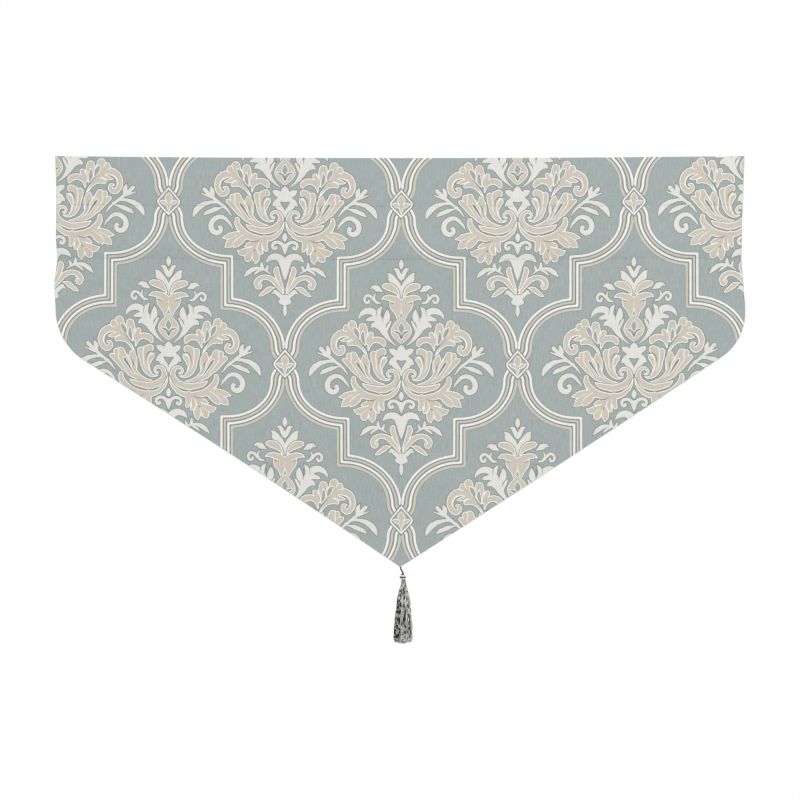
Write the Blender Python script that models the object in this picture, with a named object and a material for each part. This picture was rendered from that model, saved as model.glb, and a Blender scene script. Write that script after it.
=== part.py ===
"""Ascot valance: a V-pointed cloth with a header and a rod pocket, and a tassel at its point.

Metres, +Z up. The cloth faces -Y, +X runs to the right as seen from the front, and the
origin is the middle of the top edge. The cloth is laid out flat as (x, height) pairs, with
height 0 at the top edge, and is then hung: its grain sags, its pocket swells and it waves.
"""

import math
import random
from collections import namedtuple

import bmesh
import bpy
from mathutils import Vector
from mathutils.geometry import delaunay_2d_cdt

# Outline of the face, as drops below the top edge
HALF_WIDTH = 0.635
CORNER_DROP = 0.3415
POINT_DROP = 0.7534
LEFT_CORNER_RADIUS = 0.110
RIGHT_CORNER_RADIUS = 0.096
LEFT_SLOPE_BOW = -0.0040
RIGHT_SLOPE_BOW = 0.0012
GRAIN_SAG = 0.0037

# How far each side edge is drawn in at a drop, where it leaves the straight line
Sway = namedtuple("Sway", "drop left_in right_in")
SIDE_SWAY = (
    Sway(0.000, 0.0000, 0.0015),
    Sway(0.065, 0.0018, 0.0035),
    Sway(0.150, 0.0018, 0.0070),
    Sway(0.187, 0.0036, 0.0070),
    Sway(0.235, -0.0018, 0.0033),
    Sway(0.280, -0.0004, 0.0000),
    Sway(0.345, 0.0000, 0.0000),
)

# Cloth, hems and heading
CLOTH = 0.0016
HEM_WIDTH = 0.026
HEM_EXTRA = 0.0014
HEM_STEP = 0.0006
ROUND_EDGE = 0.0008
CREST_SHARES = (0.25, 0.75)
GAP = 0.0003
HEADER_DROP = 0.089
POCKET_HEIGHT = 0.098
SEAM_DROP = HEADER_DROP + POCKET_HEIGHT
FOLD_LIP = 0.006
TURNED_EDGE = 0.012
STRIP_INSET = 0.003
POCKET_FRONT_SWELL = 0.0070
POCKET_BACK_SWELL = 0.0215
RIDGE_SHARE = 0.548
RIDGE_ROUNDING = 0.07
SWELL_SKEW = 1.8
SWELL_UNEVEN = 0.10
SWELL_WAVES = 5.3

# Soft waves of the hanging cloth: rolls run across it and flutes run down it
Roll = namedtuple("Roll", "left_drop mid_drop right_drop half_height left_lift mid_lift right_lift")
ROLLS = (
    Roll(0.300, 0.292, 0.286, 0.036, 0.0012, 0.0009, 0.0014),
    Roll(0.372, 0.380, 0.390, 0.034, 0.0005, 0.0010, 0.0006),
    Roll(0.470, 0.490, 0.476, 0.082, 0.0030, 0.0034, 0.0026),
    Roll(0.590, 0.602, 0.596, 0.050, 0.0008, 0.0012, 0.0010),
)
Flute = namedtuple("Flute", "top_x low_x half_width lift")
FLUTES = (
    Flute(-0.560, -0.590, 0.060, 0.0030),
    Flute(-0.395, -0.420, 0.075, 0.0016),
    Flute(-0.150, -0.165, 0.095, 0.0024),
    Flute(0.075, 0.070, 0.080, 0.0014),
    Flute(0.250, 0.262, 0.070, 0.0022),
    Flute(0.430, 0.455, 0.065, 0.0018),
    Flute(0.585, 0.610, 0.045, 0.0028),
)
FLUTES_FULL_DROP = 0.420
POINT_CURL = 0.0050
POINT_CURL_FROM = 0.500
LEFT_EDGE_CURL = 0.0050
LEFT_EDGE_REACH = 0.170
RIGHT_EDGE_CURL = 0.0024
RIGHT_EDGE_REACH = 0.110

# Mesh steps of the cloth
SHARP_ANGLE = math.radians(50.0)
FACE_PITCH = 0.025
HEM_CLEARANCE = 0.008
EDGE_PITCH = 0.022
COLUMN_PITCH = 0.034
HEADER_ROWS = (0.030, 0.060)
ROWS_ABOVE_RIDGE = 7
ROWS_BELOW_RIDGE = 5
STRIP_RAMP = 0.012
ARC_STEPS = 9

# Tassel: cord, head and skirt hang one under the other, a little right of the point
CORD_RADIUS = 0.00165
CORD_LOBE = 0.16
CORD_SIDES = 10
CORD_STEP = 0.0011
CORD_TURN = 0.0062
CORD_CLEARANCE = 0.0007
SPLINE_STEPS = 24
HEAD_TOP_DROP = 0.7648
HEAD_X = 0.0045
HEAD_SIDES = 20
NECK_DROP = 0.7762
NECK_FLUTES = 9
NECK_SIDES = 4 * NECK_FLUTES
NECK_FLUTE_DEPTH = 0.10
NECK_X = 0.0060
SKIRT_LENGTH = 0.1090
SKIRT_LEAN = -0.0014
STRAND_COUNT = 130
STRAND_SIDES = 3
STRAND_SEED = 11
STRAND_FILL = 0.36
STRAND_SINK = 0.0016
STRAND_DRIFT = 0.05
ROOT_SPREAD = 0.96
END_ROUNDING = 0.030
END_UNEVEN = 0.022

# Turned profile of the head, as drops below its top
Ring = namedtuple("Ring", "drop radius")
HEAD_RINGS = (
    Ring(0.0000, 0.0012),
    Ring(0.0006, 0.0023),
    Ring(0.0018, 0.0025),
    Ring(0.0026, 0.0021),
    Ring(0.0032, 0.0036),
    Ring(0.0046, 0.0052),
    Ring(0.0058, 0.0051),
    Ring(0.0064, 0.0058),
    Ring(0.0078, 0.0059),
    Ring(0.0086, 0.0052),
    Ring(0.0098, 0.0055),
    Ring(0.0108, 0.0046),
    Ring(0.0111, 0.0036),
)

# Turned profile of the gathered neck
NECK_RINGS = (
    Ring(0.0000, 0.0039),
    Ring(0.0010, 0.0048),
    Ring(0.0055, 0.0046),
    Ring(0.0100, 0.0051),
)

# The cord's middle line: how far it lies right of the middle and above or below the point,
# and its share of the way from the tassel's line to the line behind the hem
Stop = namedtuple("Stop", "right rise behind")
CORD_STOPS = (
    Stop(-0.0004, 0.0170, 1.0),
    Stop(-0.0002, 0.0080, 1.0),
    Stop(0.0002, 0.0005, 1.0),
    Stop(0.0014, -0.0045, 0.5),
    Stop(0.0042, POINT_DROP - HEAD_TOP_DROP + 0.0026, 0.0),
    Stop(0.0045, POINT_DROP - HEAD_TOP_DROP + 0.0004, 0.0),
)

# Outer radius of the skirt, by the share of its length
Spread = namedtuple("Spread", "share radius")
SKIRT_SPREAD = (
    Spread(0.000, 0.0046),
    Spread(0.045, 0.0070),
    Spread(0.180, 0.0106),
    Spread(0.520, 0.0156),
    Spread(1.000, 0.0193),
)

# Colours, linear
CLOTH_COLOUR = (0.366, 0.423, 0.411)
CORD_COLOUR = (0.150, 0.155, 0.145)
THREAD_COLOUR = (0.300, 0.305, 0.290)


def clear_scene():
    """Remove everything that the file opened with."""
    for item in list(bpy.data.objects):
        bpy.data.objects.remove(item, do_unlink=True)


def make_material(name, colour, roughness, metallic):
    """A Principled material of one colour."""
    material = bpy.data.materials.new(name)
    material.use_nodes = True
    shader = material.node_tree.nodes["Principled BSDF"]
    shader.inputs["Base Color"].default_value = (*colour, 1.0)
    shader.inputs["Roughness"].default_value = roughness
    shader.inputs["Metallic"].default_value = metallic
    return material


def add_object(name, mesh, material, location=(0.0, 0.0, 0.0)):
    """Put a mesh in the scene as a named sub-part."""
    mesh.materials.append(material)
    item = bpy.data.objects.new(name, mesh)
    item.location = location
    bpy.context.scene.collection.objects.link(item)
    return item


def ease(share):
    """Smooth step from 0 to 1."""
    share = min(1.0, max(0.0, share))
    return share * share * (3.0 - 2.0 * share)


def bump(distance, half_width):
    """A rounded rise of height 1, which is 0 from half_width on."""
    share = min(1.0, abs(distance) / half_width)
    return 0.5 + 0.5 * math.cos(math.pi * share)


def table_value(rows, key, at, column):
    """Read a column of a short table at a place between its rows."""
    if at <= getattr(rows[0], key):
        return getattr(rows[0], column)
    for low, high in zip(rows, rows[1:]):
        start, end = getattr(low, key), getattr(high, key)
        if at <= end:
            share = ease((at - start) / (end - start))
            return getattr(low, column) * (1.0 - share) + getattr(high, column) * share
    return getattr(rows[-1], column)


def across(left, middle, right, x):
    """A value given at both sides and in the middle of the width."""
    share = x / HALF_WIDTH
    return middle + 0.5 * (right - left) * share + (0.5 * (left + right) - middle) * share * share


def side_x(sign, drop):
    """Where a side edge lies at a drop: sign -1 is the left one, +1 the right one."""
    column = "left_in" if sign < 0.0 else "right_in"
    return sign * (HALF_WIDTH - table_value(SIDE_SWAY, "drop", drop, column))


def grain_height(x):
    """The height at which the level grain hangs: highest at both ends."""
    return GRAIN_SAG * (x / HALF_WIDTH) ** 2


def rounded_corner(before, corner, after, radius, steps):
    """Points of the arc that rounds a corner between two straight runs."""
    back = (before - corner).normalized()
    ahead = (after - corner).normalized()
    half_angle = 0.5 * back.angle(ahead)
    tangent = radius / math.tan(half_angle)
    centre = corner + (back + ahead).normalized() * (radius / math.sin(half_angle))
    start = corner + back * tangent - centre
    end = corner + ahead * tangent - centre
    sweep = math.pi - 2.0 * half_angle
    points = []
    for index in range(steps + 1):
        share = index / steps
        from_start = math.sin((1.0 - share) * sweep)
        from_end = math.sin(share * sweep)
        points.append(centre + (start * from_start + end * from_end) / math.sin(sweep))
    return points


def bowed_run(start, end, bow, pitch):
    """Inner points of an almost straight run that bows to its outside."""
    run = end - start
    count = max(2, round(run.length / pitch))
    outside = Vector((run.y, -run.x)).normalized()
    return [
        start + run * (index / count) + outside * (bow * math.sin(math.pi * index / count))
        for index in range(1, count)
    ]


def side_run(sign, end_drop):
    """Points down one side edge, from the top edge to a drop."""
    count = round(end_drop / EDGE_PITCH)
    drops = [end_drop * index / count for index in range(count + 1)]
    return [Vector((side_x(sign, drop), -drop)) for drop in drops]


def free_edge():
    """The hemmed edge: down the left side, along both slopes and up the right side."""
    point = Vector((0.0, -POINT_DROP))
    halves = []
    for sign, radius, bow in (
        (-1.0, LEFT_CORNER_RADIUS, LEFT_SLOPE_BOW),
        (1.0, RIGHT_CORNER_RADIUS, RIGHT_SLOPE_BOW),
    ):
        corner = Vector((sign * HALF_WIDTH, -CORNER_DROP))
        top = Vector((sign * HALF_WIDTH, 0.0))
        arc = rounded_corner(top, corner, point, radius, ARC_STEPS)
        slope = bowed_run(arc[-1], point, -sign * bow, EDGE_PITCH)
        halves.append(side_run(sign, -arc[0].y)[:-1] + arc + slope)
    return halves[0] + [point] + halves[1][::-1]


def inset_path(path, distance):
    """Move an open path to its left side, with mitred corners and its ends kept level."""
    moved = []
    for index, place in enumerate(path):
        ahead = path[index + 1] - place if index + 1 < len(path) else None
        behind = place - path[index - 1] if index else None
        if ahead is None or behind is None:
            direction = 1.0 if behind is None else -1.0
            moved.append(place + Vector((direction * distance, 0.0)))
            continue
        first = Vector((-behind.y, behind.x)).normalized()
        second = Vector((-ahead.y, ahead.x)).normalized()
        middle = (first + second).normalized()
        moved.append(place + middle * (distance / middle.dot(first)))
    return moved


def distance_to_path(place, path):
    """Shortest distance from a place to an open path."""
    best = math.inf
    for start, end in zip(path, path[1:]):
        run = end - start
        share = min(1.0, max(0.0, (place - start).dot(run) / run.length_squared))
        best = min(best, (place - start - run * share).length_squared)
    return math.sqrt(best)


def hanging_wave(x, height):
    """How far the cloth hangs behind (+) or before (-) the plane of its top edge."""
    drop = -height
    depth = 0.0
    for roll in ROLLS:
        centre = across(roll.left_drop, roll.mid_drop, roll.right_drop, x)
        lift = across(roll.left_lift, roll.mid_lift, roll.right_lift, x)
        depth -= lift * bump(drop - centre, roll.half_height)
    growth = ease((drop - SEAM_DROP) / (FLUTES_FULL_DROP - SEAM_DROP))
    for flute in FLUTES:
        centre = flute.top_x + (flute.low_x - flute.top_x) * growth
        depth -= growth * flute.lift * bump(x - centre, flute.half_width)
    below = ease((drop - HEADER_DROP) / (FLUTES_FULL_DROP - HEADER_DROP))
    depth += below * LEFT_EDGE_CURL * (1.0 - ease((x + HALF_WIDTH) / LEFT_EDGE_REACH))
    depth += below * RIGHT_EDGE_CURL * (1.0 - ease((HALF_WIDTH - x) / RIGHT_EDGE_REACH))
    depth += POINT_CURL * ease((drop - POINT_CURL_FROM) / (POINT_DROP - POINT_CURL_FROM))
    return depth


def pocket_share(height):
    """0 at the upper seam of the pocket, 1 at the lower one."""
    return min(1.0, max(0.0, (-height - HEADER_DROP) / POCKET_HEIGHT))


def front_swell(x, height):
    """The pocket's swelling to the front, fullest low down, and uneven along the width."""
    fullness = 1.0 - SWELL_UNEVEN * (1.0 - math.sin(SWELL_WAVES * x / HALF_WIDTH))
    return POCKET_FRONT_SWELL * fullness * math.sin(math.pi * pocket_share(height) ** SWELL_SKEW)


def back_swell(height):
    """The pocket's swelling to the back: straight from each seam to a round ridge, as over a rod."""
    share = pocket_share(height)
    run = RIDGE_SHARE if share < RIDGE_SHARE else 1.0 - RIDGE_SHARE
    from_ridge = (share - RIDGE_SHARE) / run
    seam = math.hypot(1.0, RIDGE_ROUNDING)
    return POCKET_BACK_SWELL * (seam - math.hypot(from_ridge, RIDGE_ROUNDING)) / (seam - RIDGE_ROUNDING)


def column_places(end_x):
    """Even places across the heading, the same for the face and for the strip behind it."""
    count = int(end_x / COLUMN_PITCH)
    return [COLUMN_PITCH * index for index in range(-count, count + 1)]


def heading_rows():
    """Heights of the mesh rows of the header and the pocket, with one row along the pocket's ridge."""
    shares = [RIDGE_SHARE * index / ROWS_ABOVE_RIDGE for index in range(ROWS_ABOVE_RIDGE)]
    below = 1.0 - RIDGE_SHARE
    shares += [RIDGE_SHARE + below * index / ROWS_BELOW_RIDGE for index in range(ROWS_BELOW_RIDGE + 1)]
    drops = list(HEADER_ROWS) + [HEADER_DROP + POCKET_HEIGHT * share for share in shares]
    return [-drop for drop in drops]


def triangulate(loop, lines, places):
    """Triangles of a flat outline that keep the given lines and places."""
    points = [Vector(place) for place in loop]
    edges = []
    for line in lines:
        first = len(points)
        points += line
        edges += [(index, index + 1) for index in range(first, len(points) - 1)]
    points += places
    result = delaunay_2d_cdt(points, edges, [list(range(len(loop)))], 1, 1e-6)
    return result[0], result[2]


def ordered_border(faces):
    """The outer loop of a flat mesh, in the turning sense of its faces."""
    used = {(face[index - 1], face[index]) for face in faces for index in range(len(face))}
    following = {start: end for start, end in used if (end, start) not in used}
    start = next(iter(following))
    loop = [start]
    while following[loop[-1]] != start:
        loop.append(following[loop[-1]])
    return loop


def cloth_mesh(name, loop, lines, places, front, back):
    """Close a sheet between a front and a back surface, with a rounded rim."""
    flat, faces = triangulate(loop, lines, places)
    mesh = bmesh.new()

    def hang(place, depth):
        return mesh.verts.new((place.x, depth, place.y + grain_height(place.x)))

    fronts = [hang(place, front(place)) for place in flat]
    backs = [hang(place, back(place)) for place in flat]
    for face in faces:
        mesh.faces.new([fronts[index] for index in face])
        mesh.faces.new([backs[index] for index in reversed(face)])
    border = ordered_border(faces)
    crests = []
    for order, index in enumerate(border):
        place = flat[index]
        behind = (place - flat[border[order - 1]]).normalized()
        ahead = (flat[border[(order + 1) % len(border)]] - place).normalized()
        first = Vector((behind.y, -behind.x))
        second = Vector((ahead.y, -ahead.x))
        middle = (first + second).normalized()
        outer = place + middle * (ROUND_EDGE / middle.dot(first))
        near, far = front(place), back(place)
        crests.append([hang(outer, near + share * (far - near)) for share in CREST_SHARES])
    for order, index in enumerate(border):
        following = (order + 1) % len(border)
        chain = (fronts[index], *crests[order], backs[index])
        next_chain = (fronts[border[following]], *crests[following], backs[border[following]])
        for step in range(len(chain) - 1):
            mesh.faces.new((next_chain[step], chain[step], chain[step + 1], next_chain[step + 1]))
    bmesh.ops.triangulate(mesh, faces=mesh.faces[:])
    bmesh.ops.recalc_face_normals(mesh, faces=mesh.faces[:])
    data = bpy.data.meshes.new(name)
    mesh.to_mesh(data)
    mesh.free()
    data.shade_smooth()
    data.set_sharp_from_angle(angle=SHARP_ANGLE)
    return data


def build_face(material):
    """The face cloth: one sheet with its side and slope hems and the fold along its top."""
    edge = free_edge()
    rim = inset_path(edge, ROUND_EDGE)
    loop = [place.copy() for place in rim]
    loop[0].y = -ROUND_EDGE
    loop[-1].y = -ROUND_EDGE
    loop += [Vector((x, -ROUND_EDGE)) for x in column_places(HALF_WIDTH)[-2:0:-1]]

    lines = [inset_path(edge, HEM_WIDTH), inset_path(edge, HEM_WIDTH + HEM_STEP)]
    for line in lines:
        line[0].y = -ROUND_EDGE
        line[-1].y = -ROUND_EDGE
    for drop in (FOLD_LIP - GAP, FOLD_LIP, HEADER_DROP, SEAM_DROP):
        left, right = side_x(-1.0, drop), side_x(1.0, drop)
        inside = [x for x in column_places(HALF_WIDTH) if left + HEM_WIDTH < x < right - HEM_WIDTH]
        stations = [left + 2.0 * ROUND_EDGE] + inside + [right - 2.0 * ROUND_EDGE]
        lines.append([Vector((x, -drop)) for x in stations])

    places = []
    for height in heading_rows():
        for x in column_places(HALF_WIDTH):
            places.append(Vector((x, height)))
    row_step = FACE_PITCH * math.sqrt(0.75)
    row_count = int((POINT_DROP - SEAM_DROP) / row_step)
    for row in range(1, row_count + 1):
        shift = 0.5 * FACE_PITCH * (row % 2)
        for column in range(-int(HALF_WIDTH / FACE_PITCH), int(HALF_WIDTH / FACE_PITCH) + 1):
            places.append(Vector((column * FACE_PITCH + shift, -SEAM_DROP - row * row_step)))
    hem_side = inset_path(edge, HEM_WIDTH + HEM_STEP + HEM_CLEARANCE)
    inner = [place for place in places if inside_loop(place, hem_side)]

    def front(place):
        return hanging_wave(place.x, place.y) - front_swell(place.x, place.y) - 0.5 * CLOTH

    def back(place):
        depth = front(place) + CLOTH
        if distance_to_path(place, edge) < HEM_WIDTH + 0.5 * HEM_STEP:
            depth += HEM_EXTRA
        if -place.y < FOLD_LIP - 0.5 * GAP:
            depth += GAP + CLOTH
        return depth

    mesh = cloth_mesh("face_cloth", loop, lines, inner, front, back)
    return add_object("face_cloth", mesh, material)


def inside_loop(place, loop):
    """Whether a place lies inside a closed flat loop."""
    inside = False
    for start, end in zip(loop, loop[1:] + loop[:1]):
        if (start.y > place.y) != (end.y > place.y):
            cross_x = start.x + (place.y - start.y) / (end.y - start.y) * (end.x - start.x)
            if place.x < cross_x:
                inside = not inside
    return inside


def build_pocket_back(material):
    """The part of the cloth that is turned over to the back and sewn down as the rod pocket."""
    top = -(FOLD_LIP + GAP + ROUND_EDGE)
    bottom = -(SEAM_DROP + TURNED_EDGE)
    row_heights = [top] + heading_rows() + [bottom]

    def end_x(sign, height):
        return side_x(sign, -height) - sign * (STRIP_INSET + ROUND_EDGE)

    left = [Vector((end_x(-1.0, height), height)) for height in row_heights]
    right = [Vector((end_x(1.0, height), height)) for height in row_heights]
    ramp_start = HEM_WIDTH + STRIP_RAMP
    ramp_end = HEM_WIDTH + HEM_STEP + GAP
    columns = [x for x in column_places(HALF_WIDTH) if abs(x) < HALF_WIDTH - ramp_start]
    loop = left + [Vector((x, bottom)) for x in columns]
    loop += right[::-1] + [Vector((x, top)) for x in columns[::-1]]

    lines = []
    for sign in (-1.0, 1.0):
        for inset in (ramp_start, ramp_end):
            lines.append([Vector((side_x(sign, -height) - sign * inset, height)) for height in row_heights])
    for height in (-HEADER_DROP, -SEAM_DROP, -SEAM_DROP - HEM_STEP):
        lines.append([Vector((x, height)) for x in columns])
    places = [Vector((x, height)) for height in heading_rows() for x in columns]

    def hem_lift(place):
        sign = 1.0 if place.x > 0.0 else -1.0
        inset = abs(side_x(sign, -place.y) - place.x)
        share = (ramp_start - inset) / (ramp_start - ramp_end)
        return HEM_EXTRA * min(1.0, max(0.0, share))

    def front(place):
        depth = hanging_wave(place.x, place.y) + 0.5 * CLOTH + GAP
        return depth + hem_lift(place) + back_swell(place.y)

    def back(place):
        turned = HEM_EXTRA if -place.y > SEAM_DROP + 0.5 * HEM_STEP else 0.0
        return front(place) + CLOTH + turned

    mesh = cloth_mesh("rod_pocket_back", loop, lines, places, front, back)
    return add_object("rod_pocket_back", mesh, material)


def point_back_depth():
    """Depth of the hem's back face at the point of the cloth."""
    return hanging_wave(0.0, -POINT_DROP) + 0.5 * CLOTH + HEM_EXTRA


def cord_route():
    """Middle line of the tassel's cord: sewn behind the point, then down to the head."""
    line = point_back_depth()
    behind_hem = CORD_CLEARANCE + CORD_RADIUS
    return [Vector((stop.right, line + stop.behind * behind_hem, stop.rise - POINT_DROP)) for stop in CORD_STOPS]


def smooth_route(points, step):
    """Even places along a smooth curve through the given points."""
    dense = []
    padded = [points[0]] + points + [points[-1]]
    for index in range(len(points) - 1):
        first, second, third, fourth = padded[index:index + 4]
        for fine in range(SPLINE_STEPS):
            share = fine / SPLINE_STEPS
            dense.append(
                second
                + 0.5 * share * (third - first)
                + share ** 2 * (first - 2.5 * second + 2.0 * third - 0.5 * fourth)
                + share ** 3 * 0.5 * (fourth - 3.0 * third + 3.0 * second - first)
            )
    dense.append(points[-1])
    lengths = [0.0]
    for start, end in zip(dense, dense[1:]):
        lengths.append(lengths[-1] + (end - start).length)
    count = round(lengths[-1] / step)
    route = []
    cursor = 0
    for index in range(count + 1):
        wanted = lengths[-1] * index / count
        while cursor < len(lengths) - 2 and lengths[cursor + 1] < wanted:
            cursor += 1
        share = (wanted - lengths[cursor]) / (lengths[cursor + 1] - lengths[cursor])
        route.append(dense[cursor].lerp(dense[cursor + 1], share))
    return route


def build_cord(material):
    """The twisted cord: a two-ply section that turns as it runs down the route."""
    route = smooth_route(cord_route(), CORD_STEP)
    mesh = bmesh.new()
    rings = []
    for index, place in enumerate(route):
        ahead = route[min(index + 1, len(route) - 1)] - route[max(index - 1, 0)]
        ahead.normalize()
        side = Vector((0.0, 1.0, 0.0)).cross(ahead).normalized()
        rise = ahead.cross(side)
        turn = 2.0 * math.pi * index * CORD_STEP / CORD_TURN
        ring = []
        for corner in range(CORD_SIDES):
            angle = 2.0 * math.pi * corner / CORD_SIDES
            radius = CORD_RADIUS * (1.0 + CORD_LOBE * math.cos(2.0 * (angle - turn)))
            offset = side * (radius * math.cos(angle)) + rise * (radius * math.sin(angle))
            ring.append(mesh.verts.new(place + offset))
        rings.append(ring)
    for upper, lower in zip(rings, rings[1:]):
        for corner in range(CORD_SIDES):
            following = (corner + 1) % CORD_SIDES
            mesh.faces.new((upper[corner], upper[following], lower[following], lower[corner]))
    mesh.faces.new(rings[0])
    mesh.faces.new(rings[-1])
    bmesh.ops.triangulate(mesh, faces=mesh.faces[:])
    bmesh.ops.recalc_face_normals(mesh, faces=mesh.faces[:])
    data = bpy.data.meshes.new("tassel_cord")
    mesh.to_mesh(data)
    mesh.free()
    data.shade_smooth()
    return add_object("tassel_cord", data, material)


def turned_mesh(name, rings, sides, flutes=0, flute_depth=0.0):
    """A round body from a table of rings, closed at both ends, optionally fluted."""
    mesh = bmesh.new()
    loops = []
    for ring in rings:
        loop = []
        for corner in range(sides):
            angle = 2.0 * math.pi * corner / sides
            radius = ring.radius * (1.0 + flute_depth * math.cos(flutes * angle))
            loop.append(mesh.verts.new((radius * math.cos(angle), radius * math.sin(angle), -ring.drop)))
        loops.append(loop)
    for upper, lower in zip(loops, loops[1:]):
        for corner in range(sides):
            following = (corner + 1) % sides
            mesh.faces.new((upper[corner], lower[corner], lower[following], upper[following]))
    mesh.faces.new(loops[0])
    mesh.faces.new(loops[-1][::-1])
    bmesh.ops.recalc_face_normals(mesh, faces=mesh.faces[:])
    data = bpy.data.meshes.new(name)
    mesh.to_mesh(data)
    mesh.free()
    data.shade_smooth()
    data.set_sharp_from_angle(angle=SHARP_ANGLE)
    return data


def build_head(material):
    """The head: a small knot on a bead that is bound round its middle."""
    mesh = turned_mesh("tassel_head", HEAD_RINGS, HEAD_SIDES)
    return add_object("tassel_head", mesh, material, (HEAD_X, point_back_depth(), -HEAD_TOP_DROP))


def strand_roots():
    """Directions and radius shares of the strands, spread evenly over a disc."""
    golden = math.pi * (3.0 - math.sqrt(5.0))
    roots = []
    for index in range(STRAND_COUNT):
        share = math.sqrt((index + 0.5) / STRAND_COUNT)
        roots.append((golden * index, ROOT_SPREAD * share))
    return roots


def strands_mesh():
    """All strands as separate tapering three-sided bodies, apart along their whole length."""
    draw = random.Random(STRAND_SEED)
    mesh = bmesh.new()
    for direction, radius_share in strand_roots():
        own_length = SKIRT_LENGTH * (1.0 - END_ROUNDING * radius_share ** 2 - END_UNEVEN * draw.random())
        twist = draw.uniform(0.0, 2.0 * math.pi)
        drift = draw.uniform(-STRAND_DRIFT, STRAND_DRIFT)
        rings = []
        for spread in SKIRT_SPREAD:
            pitch = spread.radius * math.sqrt(math.pi / STRAND_COUNT)
            half = STRAND_FILL * pitch
            angle = direction + drift * spread.share * (1.0 - radius_share)
            reach = radius_share * (spread.radius - half)
            centre_x = reach * math.cos(angle) + SKIRT_LEAN * spread.share
            centre_y = reach * math.sin(angle)
            height = STRAND_SINK if spread.share == 0.0 else -own_length * spread.share
            ring = []
            for corner in range(STRAND_SIDES):
                turn = twist + 2.0 * math.pi * corner / STRAND_SIDES
                ring.append(mesh.verts.new((
                    centre_x + half * math.cos(turn),
                    centre_y + half * math.sin(turn),
                    height,
                )))
            rings.append(ring)
        for upper, lower in zip(rings, rings[1:]):
            for corner in range(STRAND_SIDES):
                following = (corner + 1) % STRAND_SIDES
                mesh.faces.new((upper[corner], lower[corner], lower[following], upper[following]))
        mesh.faces.new(rings[0])
        mesh.faces.new(rings[-1][::-1])
    bmesh.ops.recalc_face_normals(mesh, faces=mesh.faces[:])
    data = bpy.data.meshes.new("skirt_strands")
    mesh.to_mesh(data)
    mesh.free()
    return data


def build_skirt(material):
    """The gathered neck with its skirt of strands, fused to it at their roots."""
    mesh = turned_mesh("tassel_skirt", NECK_RINGS, NECK_SIDES, NECK_FLUTES, NECK_FLUTE_DEPTH)
    neck = add_object("tassel_skirt", mesh, material, (NECK_X, point_back_depth(), -NECK_DROP))

    place = (NECK_X, point_back_depth(), -NECK_DROP - NECK_RINGS[-1].drop)
    strands = add_object("skirt_strands_guide", strands_mesh(), material, place)
    strands.hide_render = True
    strands.display_type = "WIRE"

    union = neck.modifiers.new("strands", "BOOLEAN")
    union.operation = "UNION"
    union.solver = "EXACT"
    union.object = strands
    return neck


def main():
    """Build every sub-part of the valance."""
    clear_scene()
    cloth = make_material("jacquard_cloth", CLOTH_COLOUR, 0.85, 0.0)
    cord = make_material("twisted_cord", CORD_COLOUR, 0.45, 0.0)
    thread = make_material("silver_thread", THREAD_COLOUR, 0.40, 0.0)
    build_face(cloth)
    build_pocket_back(cloth)
    build_cord(cord)
    build_head(thread)
    build_skirt(thread)


main()
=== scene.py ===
"""Ascot valance, dressed: a woven damask cloth with its sewing, and a thread tassel at its point.

Metres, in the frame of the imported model: -Y is the front, +X the right and +Z up, and the
origin is the middle of the top edge. The cloth is one closed sheet in its true cut. It is laid
out flat, its woven figures are charted on it, and then it is hung over the same folds as the
solids: up the face, over the top edge and down the back as the rod pocket.
"""

import logging
import math
import random
from dataclasses import dataclass
from enum import Enum

import bpy
import numpy as np
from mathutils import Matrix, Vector
from mathutils.bvhtree import BVHTree
from mathutils.geometry import delaunay_2d_cdt


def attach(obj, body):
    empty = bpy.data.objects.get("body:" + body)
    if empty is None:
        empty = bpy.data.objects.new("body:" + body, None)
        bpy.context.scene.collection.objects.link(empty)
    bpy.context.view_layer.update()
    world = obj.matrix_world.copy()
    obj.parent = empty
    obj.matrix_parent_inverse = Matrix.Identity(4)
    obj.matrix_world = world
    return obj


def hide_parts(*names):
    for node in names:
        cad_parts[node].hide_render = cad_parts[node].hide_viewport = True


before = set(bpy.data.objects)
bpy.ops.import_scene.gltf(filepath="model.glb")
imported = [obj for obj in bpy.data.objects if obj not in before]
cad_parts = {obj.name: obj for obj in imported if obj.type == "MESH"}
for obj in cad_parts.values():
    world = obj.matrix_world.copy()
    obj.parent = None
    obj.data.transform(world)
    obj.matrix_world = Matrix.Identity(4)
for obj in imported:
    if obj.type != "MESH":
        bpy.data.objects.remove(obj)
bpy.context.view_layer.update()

LOG = logging.getLogger("valance")

Place = tuple[float, float]
Colour = tuple[float, float, float]

# Charted shapes, in chart steps: where a shape is too thin to weave, and which ends are blunt
THINNEST_HALF = 0.04
BLUNT_HALF = 0.45
BLUNT_VINE_HALF = 0.6
SHARP_REACH = 1.5
BLADE_CAP = np.radians([60.0, 20.0, -20.0, -60.0])
VINE_CAP = np.radians([50.0, 0.0, -50.0])

# Flat places nearer than this, in metres, become one: while painting, and with the lines for the folds
PAINT_MERGE = 0.000012
FOLD_MERGE = 0.000004


class Yarn(Enum):
    """The yarns that show: seven on the right side of the cloth and two on its wrong side."""

    GROUND = 0
    SHADE = 1
    CREAM = 2
    BEIGE = 3
    WHITE = 4
    GREIGE = 5
    STONE = 6
    BACK_GROUND = 7
    BACK_FIGURE = 8


Painted = list[tuple[Yarn, np.ndarray]]


def ease(share: np.ndarray) -> np.ndarray:
    """Smooth step from 0 to 1."""
    share = np.clip(share, 0.0, 1.0)
    return share * share * (3.0 - 2.0 * share)


def bump(distance: np.ndarray, half_width: float) -> np.ndarray:
    """A rounded rise of height 1, which is 0 from half_width on."""
    return 0.5 + 0.5 * np.cos(math.pi * np.clip(np.abs(distance) / half_width, 0.0, 1.0))


def unit(vectors: np.ndarray) -> np.ndarray:
    """The same rows, each made 1 long."""
    return vectors / np.maximum(np.linalg.norm(vectors, axis=-1, keepdims=True), 1e-12)


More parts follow.
